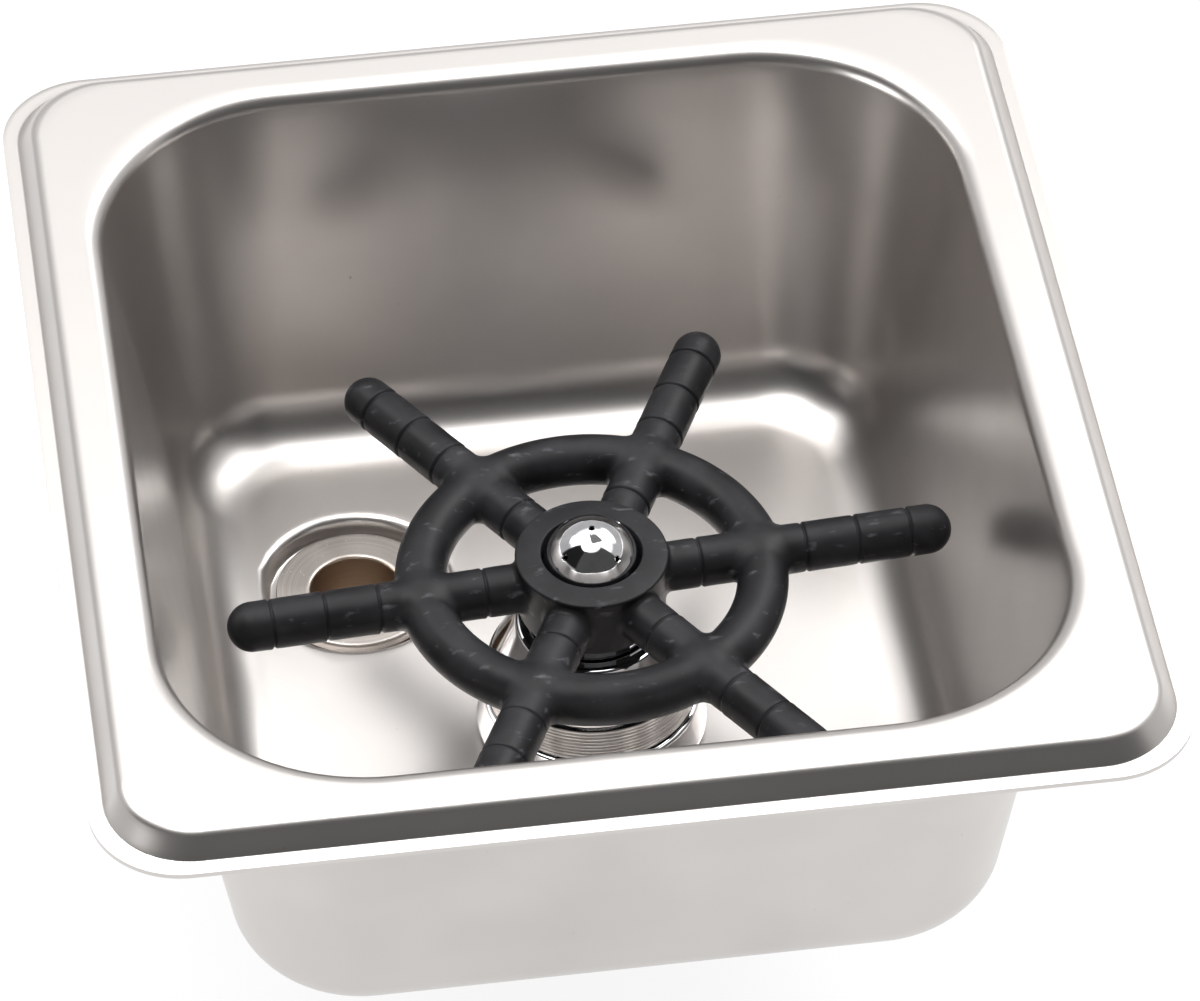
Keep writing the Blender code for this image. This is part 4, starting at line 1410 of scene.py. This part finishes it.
    def sections(self, x: np.ndarray, radius: np.ndarray) -> np.ndarray:
        """Round sections across the arm: (x, r cos t, r sin t)."""
        x, radius = x[:, None], radius[:, None]
        return np.stack((np.repeat(x, self.around, axis=1), radius * self.cos, radius * self.sin), axis=-1)

    def half_ring(self) -> np.ndarray:
        """The ring from its seam with the arm to the middle between two arms.

        Returns:
            A grid, seam to middle.
        """
        seam = self.crossing(np.abs(self.cos), self.cos)
        turn = np.arctan2(seam[:, 1], seam[:, 0])
        share = np.linspace(0, 1, self.ring_rows + 1)[:, None]
        along = (turn + share * (math.pi / self.arm_count - turn)) * self.ring_radius
        return self.march(lambda t: self.bent(along, t * self.cos, t * self.sin), along.shape)

    def hub_side(self, seam: np.ndarray, low: float, high: float) -> np.ndarray:
        """One sixth of the hub's side, from the arm's seam out to the edges of that sixth.

        In turn and height each point goes evenly from its seam point to its place on the edge.

        Args:
            seam: The arm's seam.
            low: The lower edge, from the arms' level.
            high: The upper edge, from the arms' level.

        Returns:
            A grid, seam to edge.
        """
        half_side = self.side_steps // 2
        keys = np.cumsum((-half_side, self.side_steps, self.edge_steps, self.side_steps, self.edge_steps))
        sixth = math.pi / self.arm_count
        edge_turn = np.interp(self.index, keys, (sixth, sixth, -sixth, -sixth, sixth))
        edge_z = np.interp(self.index, keys, (low, high, high, low, low))
        share = np.linspace(0, 1, self.hub_rows + 1)[:, None]
        turn = np.arctan2(seam[:, 1], seam[:, 0]) * (1 - share) + edge_turn * share
        z = seam[:, 2] * (1 - share) + edge_z * share
        return self.march(lambda t: np.stack((t * np.cos(turn), t * np.sin(turn), z), axis=-1), z.shape)

    def hub_profile(self) -> np.ndarray:
        """The hub's section from its side's top over the crown, recess, bore and socket to its side's foot.

        Returns:
            Rows of (radius, height).
        """
        floor = self.high - self.recess_depth
        roof = floor - self.web
        return rounded(((self.hub_radius, self.high, self.hub_edge),
                        (self.recess, self.high + self.crown, self.recess_edge),
                        (self.recess, floor, self.recess_heel), (self.bore, floor, 0), (self.bore, roof, 0),
                        (self.socket, roof, self.socket_heel), (self.socket, self.low, self.socket_edge),
                        (self.foot_radius, self.low, self.foot_edge)), self.profile_steps)

    def build(self) -> None:
        """Work out one sixth, turn it to the six places and weld it with the hub's turned part."""
        profile = self.hub_profile()
        seam = self.hub_seam()
        near, far = self.hub_collar_end, self.ring_radius - self.ring_tube - self.inner_collar
        out = self.ring_radius + self.ring_tube + self.ring_corner + self.outer_collar
        tip_start = self.reach - self.arm_radius
        tip = arc((tip_start, 0), self.arm_radius, math.pi / 2, 0, self.tip_steps)
        spread_out = np.abs(self.cos)
        half = self.half_ring()
        patches = [self.hub_side(seam, profile[-1, 1] - self.level, profile[0, 1] - self.level),
                   self.collar(seam, near, self.hub_collar_rows), self.shaft(near, far),
                   self.collar(self.crossing(self.cos, -spread_out), far, self.ring_collar_rows),
                   self.collar(self.crossing(self.cos, spread_out), out, self.ring_collar_rows),
                   self.shaft(out, tip_start), self.sections(tip[:, 0], tip[:, 1]), half, half * (1, -1, 1)]
        shell = Shell("spider_moulding")
        for i in range(self.arm_count):
            for patch in patches:
                turn = self.arm_turn + i * FULL_TURN / self.arm_count
                shell.add(placed(patch, turn, (*self.centre, self.level)), round_columns=True)
        hub = turned(profile, (0, 0), self.arm_count * self.edge_steps)
        turn = self.arm_turn + math.pi / self.arm_count
        shell.add(placed(hub, turn, (*self.centre, 0)), round_columns=True)
        dress(shell.make(sharp=self.sharp), self.look, Body.HEAD, "spider")


@dataclass
class Nozzle:
    """The domed nozzle in the hub: half a ball with four jets round a fifth, its chamber and its stem."""

    look: Look
    radius: float = 7.6 * MM
    foot: float = 0.1 * MM
    foot_edge: float = 0.05 * MM
    head_height: float = 2.4 * MM
    cad_rise: float = 1.9 * MM
    flange: float = 1.0 * MM
    stem: float = 4.0 * MM
    stem_edge: float = 0.2 * MM
    bore: float = 2.2 * MM
    bore_edge: float = 0.1 * MM
    wall: float = 1.1 * MM
    jet: float = 0.45 * MM
    countersink: float = 0.12 * MM
    jet_slope: float = math.radians(49)
    jet_count: int = 4
    jet_turn: float = math.radians(35.4)
    arc_steps: int = 32
    side_steps: int = 14
    eye_steps: int = 16
    rows: int = 24
    body_steps: int = 3
    sharp: float = math.radians(40)

    def __post_init__(self) -> None:
        """Take the place from the CAD nozzle: the half ball stands where the CAD nozzle's head starts."""
        self.seat = Extent.of("nozzle")
        self.low = self.seat.high - self.cad_rise - self.head_height
        self.middle = self.low + self.foot

    def pierced(self, edge: float, jet: float) -> np.ndarray:
        """One quarter of a disc round its jet, unrolled from the ball, from the jet to the quarter's edge.

        Lengths are angles from the ball's top. Points go evenly from the jet's circle to the outer arc, the
        straight sides and the middle jet's arc, and the jet is drawn wider across, since the ball draws it in
        again.

        Args:
            edge: The disc's edge.
            jet: The jets' radius.

        Returns:
            A grid of (x, y), jet to edge.
        """
        count = self.arc_steps + 2 * self.side_steps + self.eye_steps
        index = np.arange(count) - self.arc_steps // 2
        keys = np.cumsum((-self.arc_steps // 2, self.arc_steps, self.side_steps, self.eye_steps,
                          self.side_steps))
        half = math.pi / self.jet_count
        turn = np.interp(index, keys, (-half, half, half, -half, -half))
        away = np.interp(index, keys, (edge, edge, jet, jet, edge))
        border = np.stack((away * np.cos(turn), away * np.sin(turn)), axis=-1)
        angle = index * FULL_TURN / count
        wider = self.jet_slope / math.sin(self.jet_slope)
        hole = np.stack((self.jet_slope + jet * np.cos(angle), wider * jet * np.sin(angle)), axis=-1)
        share = np.linspace(0, 1, self.rows)[:, None, None]
        return hole * (1 - share) + border * share

    def rolled(self, flat: np.ndarray, size: float) -> np.ndarray:
        """Roll an unrolled grid on to a ball about the dome's middle.

        With s the length of (x, y), a point goes to (x, y) / s * size * sin s and middle + size * cos s.

        Args:
            flat: Points whose lengths are angles from the ball's top.
            size: The ball's radius.

        Returns:
            The grid on the ball.
        """
        slope = np.linalg.norm(flat, axis=-1, keepdims=True)
        level = self.middle + size * np.cos(slope)
        return np.concatenate((flat / slope * size * np.sin(slope), level), axis=-1)

    def build(self) -> None:
        """Weld the pierced dome, the chamber's pierced roof, the jets' bores and the turned body."""
        chamber = self.radius - self.wall
        floor = self.low + self.flange
        chamber_edge = math.acos((floor - self.middle) / chamber)
        wide = self.pierced(math.pi / 2, (self.jet + self.countersink) / self.radius)
        dome = self.rolled(wide, self.radius)
        narrow = self.pierced(chamber_edge, self.jet / self.radius)
        throat = self.rolled(narrow, self.radius - self.countersink)
        roof = self.rolled(narrow, chamber)
        eye_start = self.arc_steps + self.side_steps
        eye = slice(eye_start, eye_start + self.eye_steps + 1)
        place = (*self.seat.centre, 0)
        shell = Shell("nozzle_dome")
        for i in range(self.jet_count):
            turn = self.jet_turn + i * FULL_TURN / self.jet_count
            for grid in (dome, roof, np.stack((dome[0], throat[0], roof[0]))):
                shell.add(placed(grid, turn, place), round_columns=True)
            shell.add(placed(np.stack((dome[-1, eye], throat[-1, eye], roof[-1, eye])), turn, place))
        end = self.seat.low
        body = rounded(((self.radius, self.middle, 0), (self.radius, self.low, self.foot_edge),
                        (self.stem, self.low, 0), (self.stem, end, self.stem_edge),
                        (self.bore, end, self.bore_edge), (self.bore, floor, 0),
                        (chamber * math.sin(chamber_edge), floor, 0)), self.body_steps)
        rest = turned(body, (0, 0), self.jet_count * self.arc_steps)
        shell.add(placed(rest, self.jet_turn + math.pi / self.jet_count, place), round_columns=True)
        dress(shell.make(sharp=self.sharp), self.look, Body.HEAD, "nozzle")


@dataclass
class ReturnSpring:
    """The return spring: a coil of drawn wire under the slip washer, whose end turns lie close."""

    look: Look
    wire: float = 0.7 * MM
    chamfer: float = 0.15 * MM
    turns: int = 4
    turn_steps: int = 48
    wire_steps: int = 16
    closing: float = 0.6

    def build(self) -> None:
        """Sweep the wire along its coil.

        With t from 0 to 1 along the wire, the coil turns by 2 pi * turns * t and rises by
        t - closing * sin(2 pi t) / (2 pi) of its height, so its end turns lie close. Each section is a circle
        of the wire's radius between the outward direction and the tangent crossed with it.
        """
        seat = Extent.of("return_spring")
        share = np.linspace(0, 1, self.turns * self.turn_steps + 1)
        angle = FULL_TURN * self.turns * share
        rise = share - self.closing * np.sin(FULL_TURN * share) / FULL_TURN
        outward = np.column_stack((np.cos(angle), np.sin(angle), np.zeros_like(angle)))
        line = outward * (seat.radius - self.wire) + (*seat.centre, seat.low + self.wire)
        line[:, 2] += rise * (seat.high - seat.low - 2 * self.wire)
        along = np.gradient(line, axis=0)
        along /= np.linalg.norm(along, axis=1)[:, None]
        across = np.cross(along, outward)
        size = np.full(len(line), self.wire)
        # Two more sections at each end: a point in the middle of the cut, and the cut's chamfered edge.
        line, outward, across, size, along = (np.concatenate((rows[:1], rows[:1], rows, rows[-1:], rows[-1:]))
                                              for rows in (line, outward, across, size, along))
        size[[0, -1]] = 0
        size[[1, -2]] -= self.chamfer
        line[2] += along[2] * self.chamfer
        line[-3] -= along[-3] * self.chamfer
        turn = np.linspace(0, FULL_TURN, self.wire_steps, endpoint=False)[None, :, None]
        section = outward[:, None] * np.cos(turn) + across[:, None] * np.sin(turn)
        grid = line[:, None] + section * size[:, None, None]
        piece = Shell("return_spring_coil").add(grid, round_columns=True).make()
        dress(piece, self.look, Body.PAN, "return_spring")
        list(seat.centre)
        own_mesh(piece)


@dataclass
class Inside:
    """What the valve holds: CAD nodes whose shape is right, which get their finishes."""

    chrome: Look
    steel: Look
    rubber: Look
    nylon: Look
    fibre: Look

    def build(self) -> None:
        """Put each finish into the node's own material slot."""
        looks = {"plunger": self.chrome, "guide_bush": self.nylon, "spring_washer": self.steel,
                 "upper_o_ring": self.rubber, "lower_o_ring": self.rubber, "seal_disc": self.rubber,
                 "seal_screw": self.steel, "nozzle_seal": self.fibre}
        for name, look in looks.items():
            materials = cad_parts[name].data.materials
            materials.clear()
            materials.append(look.material)
            LOG.info("%s: a CAD node in %s", name, look.material.name)


# Camera, light and floor

@dataclass(frozen=True)
class Camera:
    """The camera at the photograph's angle, as fitted to the pan's corners and the spider.

    The focal length is in pixels of a picture of the given width, and the sensor's width in millimetres.
    """

    elevation: float = math.radians(43.93)
    azimuth: float = math.radians(-8.23)
    roll: float = math.radians(0.03)
    target: Place = (0.66 * MM, -24.08 * MM)
    distance: float = 1054.14 * MM
    focal: float = 7035.97
    picture_width: float = 1200
    sensor: float = 36

    def build(self) -> None:
        """Place the camera on the line back from its target, and turn it by its roll."""
        flat = math.cos(self.elevation)
        back = Vector((math.sin(self.azimuth) * flat, -math.cos(self.azimuth) * flat,
                       math.sin(self.elevation)))
        right = Vector((0, 0, 1)).cross(back).normalized()
        up = back.cross(right)
        across = math.cos(self.roll) * right + math.sin(self.roll) * up
        upright = math.cos(self.roll) * up - math.sin(self.roll) * right
        data = bpy.data.cameras.new("camera")
        data.sensor_width = self.sensor
        data.lens = self.focal * self.sensor / self.picture_width
        camera = bpy.data.objects.new("camera", data)
        turn = Matrix((across, upright, back)).transposed().to_4x4()
        turn.translation = Vector((*self.target, CAD_BOX[1].z)) + back * self.distance
        camera.matrix_world = turn
        bpy.context.scene.collection.objects.link(camera)
        bpy.context.scene.camera = camera


@dataclass(frozen=True)
class Part:
    """A part of the room with a brightness of its own and soft edges.

    The azimuth turns from straight behind the pan towards the right, and all angles are in degrees.
    """

    azimuth: float
    half_width: float
    elevation: float
    half_height: float
    strength: float
    edge: float = 6.0


@dataclass(frozen=True)
class Studio:
    """A room whose walls shine, with a dark side behind the camera, and a pale table top."""

    low_light: float = 0.66
    high_light: float = 3.4
    low_angle: float = 40.0
    high_angle: float = 53.5
    parts: tuple[Part, ...] = (
        Part(-110, 33, 45, 24, 0.02),       # the dark part of the left wall
        Part(-51, 10, 56.5, 12, 11.2, 14),  # the lamp at the back left
        Part(52.5, 21, 53, 14, 11.5, 14),   # the lamp at the back right
        Part(-79, 77, 83, 13.5, 8.9),       # the bright part of the ceiling
        Part(36, 38, 75.5, 12.5, 0.3),      # the dark part of the ceiling
        Part(170, 59, 20, 51, 0.1),         # the dark side behind the camera
        Part(-112, 11, 8, 6, 9.0),          # the low window on the left
    )
    table_level: float = -0.1002
    table_half: float = 3.0
    table_colour: str = "5A5A5A"
    table_roughness: float = 0.9
    table_glow: float = 0.88

    def build(self) -> None:
        """Make the room and the table top."""
        bpy.context.scene.view_settings.view_transform = "Standard"
        self.room()
        self.table()

    def room(self) -> None:
        """Walls that brighten with height, and over them each part in turn."""
        world = bpy.data.worlds.new("room")
        bpy.context.scene.world = world
        world.use_nodes = True
        tree = world.node_tree
        background = tree.nodes["Background"]
        background.inputs["Color"].default_value = linear("FFFFFF")
        place = node(tree, "ShaderNodeTexCoord")
        parts = node(tree, "ShaderNodeSeparateXYZ", {}, {0: (place, "Generated")})
        height = node(tree, "ShaderNodeMath", {}, {0: (parts, 2)}, operation="ARCSINE")
        light = node(tree, "ShaderNodeMapRange",
                     {"From Min": math.radians(self.low_angle), "From Max": math.radians(self.high_angle),
                      "To Min": self.low_light, "To Max": self.high_light},
                     {"Value": (height, 0)}, interpolation_type="SMOOTHSTEP")
        for part in self.parts:
            turned_to = node(tree, "ShaderNodeVectorRotate", {"Angle": math.radians(part.azimuth)},
                             {"Vector": (place, "Generated")}, rotation_type="Z_AXIS")
            axes = node(tree, "ShaderNodeSeparateXYZ", {}, {0: (turned_to, 0)})
            turn = node(tree, "ShaderNodeMath", {}, {0: (axes, 0), 1: (axes, 1)}, operation="ARCTAN2")
            wide = self.within(tree, turn, 0, part.half_width, part.edge)
            high = self.within(tree, height, part.elevation, part.half_height, part.edge)
            share = node(tree, "ShaderNodeMath", {}, {0: (wide, 0), 1: (high, 0)}, operation="MULTIPLY")
            light = node(tree, "ShaderNodeMix", {NUMBER_B: part.strength},
                         {0: (share, 0), NUMBER_A: (light, 0)})
        tree.links.new(light.outputs[0], background.inputs["Strength"])

    @staticmethod
    def within(tree: Tree, angle: Node, middle: float, half: float, edge: float) -> Node:
        """One inside a range of angles, nothing outside it, and a soft step between.

        Args:
            tree: The node tree.
            angle: The node that gives the angle in radians.
            middle: The range's middle in degrees.
            half: Half its size.
            edge: How wide the soft step is.

        Returns:
            The node whose first output is the value.
        """
        away = node(tree, "ShaderNodeMath", {1: math.radians(middle)}, {0: (angle, 0)}, operation="SUBTRACT")
        size = node(tree, "ShaderNodeMath", {}, {0: (away, 0)}, operation="ABSOLUTE")
        return node(tree, "ShaderNodeMapRange",
                    {"From Min": math.radians(half + edge / 2), "From Max": math.radians(half - edge / 2),
                     "To Min": 0.0, "To Max": 1.0}, {"Value": (size, 0)}, interpolation_type="SMOOTHSTEP")

    def table(self) -> None:
        """A wide pale table top, painted matt, that glows a little, so that it stays white under the pan."""
        side, level = self.table_half, self.table_level
        grid = np.array([[(x, y, level) for x in (-side, side)] for y in (-side, side)])
        piece = Shell("floor").add(grid).make(up=(0, 0))
        made = bpy.data.materials.new("white_table_top")
        made.use_nodes = True
        shader = made.node_tree.nodes["Principled BSDF"]
        shader.inputs["Base Color"].default_value = linear(self.table_colour)
        shader.inputs["Roughness"].default_value = self.table_roughness
        shader.inputs["Emission Color"].default_value = linear("FFFFFF")
        shader.inputs["Emission Strength"].default_value = self.table_glow
        piece.data.materials.append(made)


def main() -> None:
    """Build every piece in order, then the camera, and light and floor."""
    logging.basicConfig(level=logging.INFO)
    drain, valve = Extent.of("drain_body"), Extent.of("valve_body")
    sheet = PressedSteel("satin_stainless_sheet", Slot.PRESSED_STEEL, "D3CFCC", roughness=0.31).build()
    outlet_steel = TurnedSteel("turned_stainless_outlet", Slot.TURNED_METAL, "BEB7B2", roughness=0.33,
                               centre=drain.centre, stained=7.5 * MM).build()
    valve_steel = TurnedSteel("turned_stainless_valve", Slot.TURNED_METAL, "B4B2B0", roughness=0.21,
                              centre=valve.centre, specked=0.0).build()
    chrome = PolishedChrome("polished_chrome_plate", Slot.CHROME, "D8D8DA", roughness=0.05).build()
    black = MouldedRubber("matt_black_rubber", Slot.BLACK_MOULDING, "141416", roughness=0.47,
                          gloss=0.18).build()
    seal = Moulding("black_seal_rubber", Slot.SEAL_RUBBER, "161617", roughness=0.6, paler="262627").build()
    nylon = Moulding("white_nylon", Slot.NYLON, "E6E3DA", roughness=0.42, paler="D6D2C6").build()
    fibre = Moulding("red_vulcan_fibre", Slot.FIBRE, "7A2E22", roughness=0.75, paler="5E2018").build()
    spring = PolishedChrome("drawn_spring_steel", Slot.SPRING_STEEL, "B9B9BB", roughness=0.16).build()
    lathe = Lathe()
    Pan(sheet, drain, valve).build()
    WasteOutlet(outlet_steel, seal, nylon, lathe).build()
    Valve(chrome, valve_steel, seal, fibre, lathe).build()
    ReturnSpring(spring).build()
    Inside(chrome, valve_steel, seal, nylon, fibre).build()
    Spider(black).build()
    Nozzle(chrome).build()
    Camera().build()
    Studio().build()


if __name__ == "__main__":
    main()
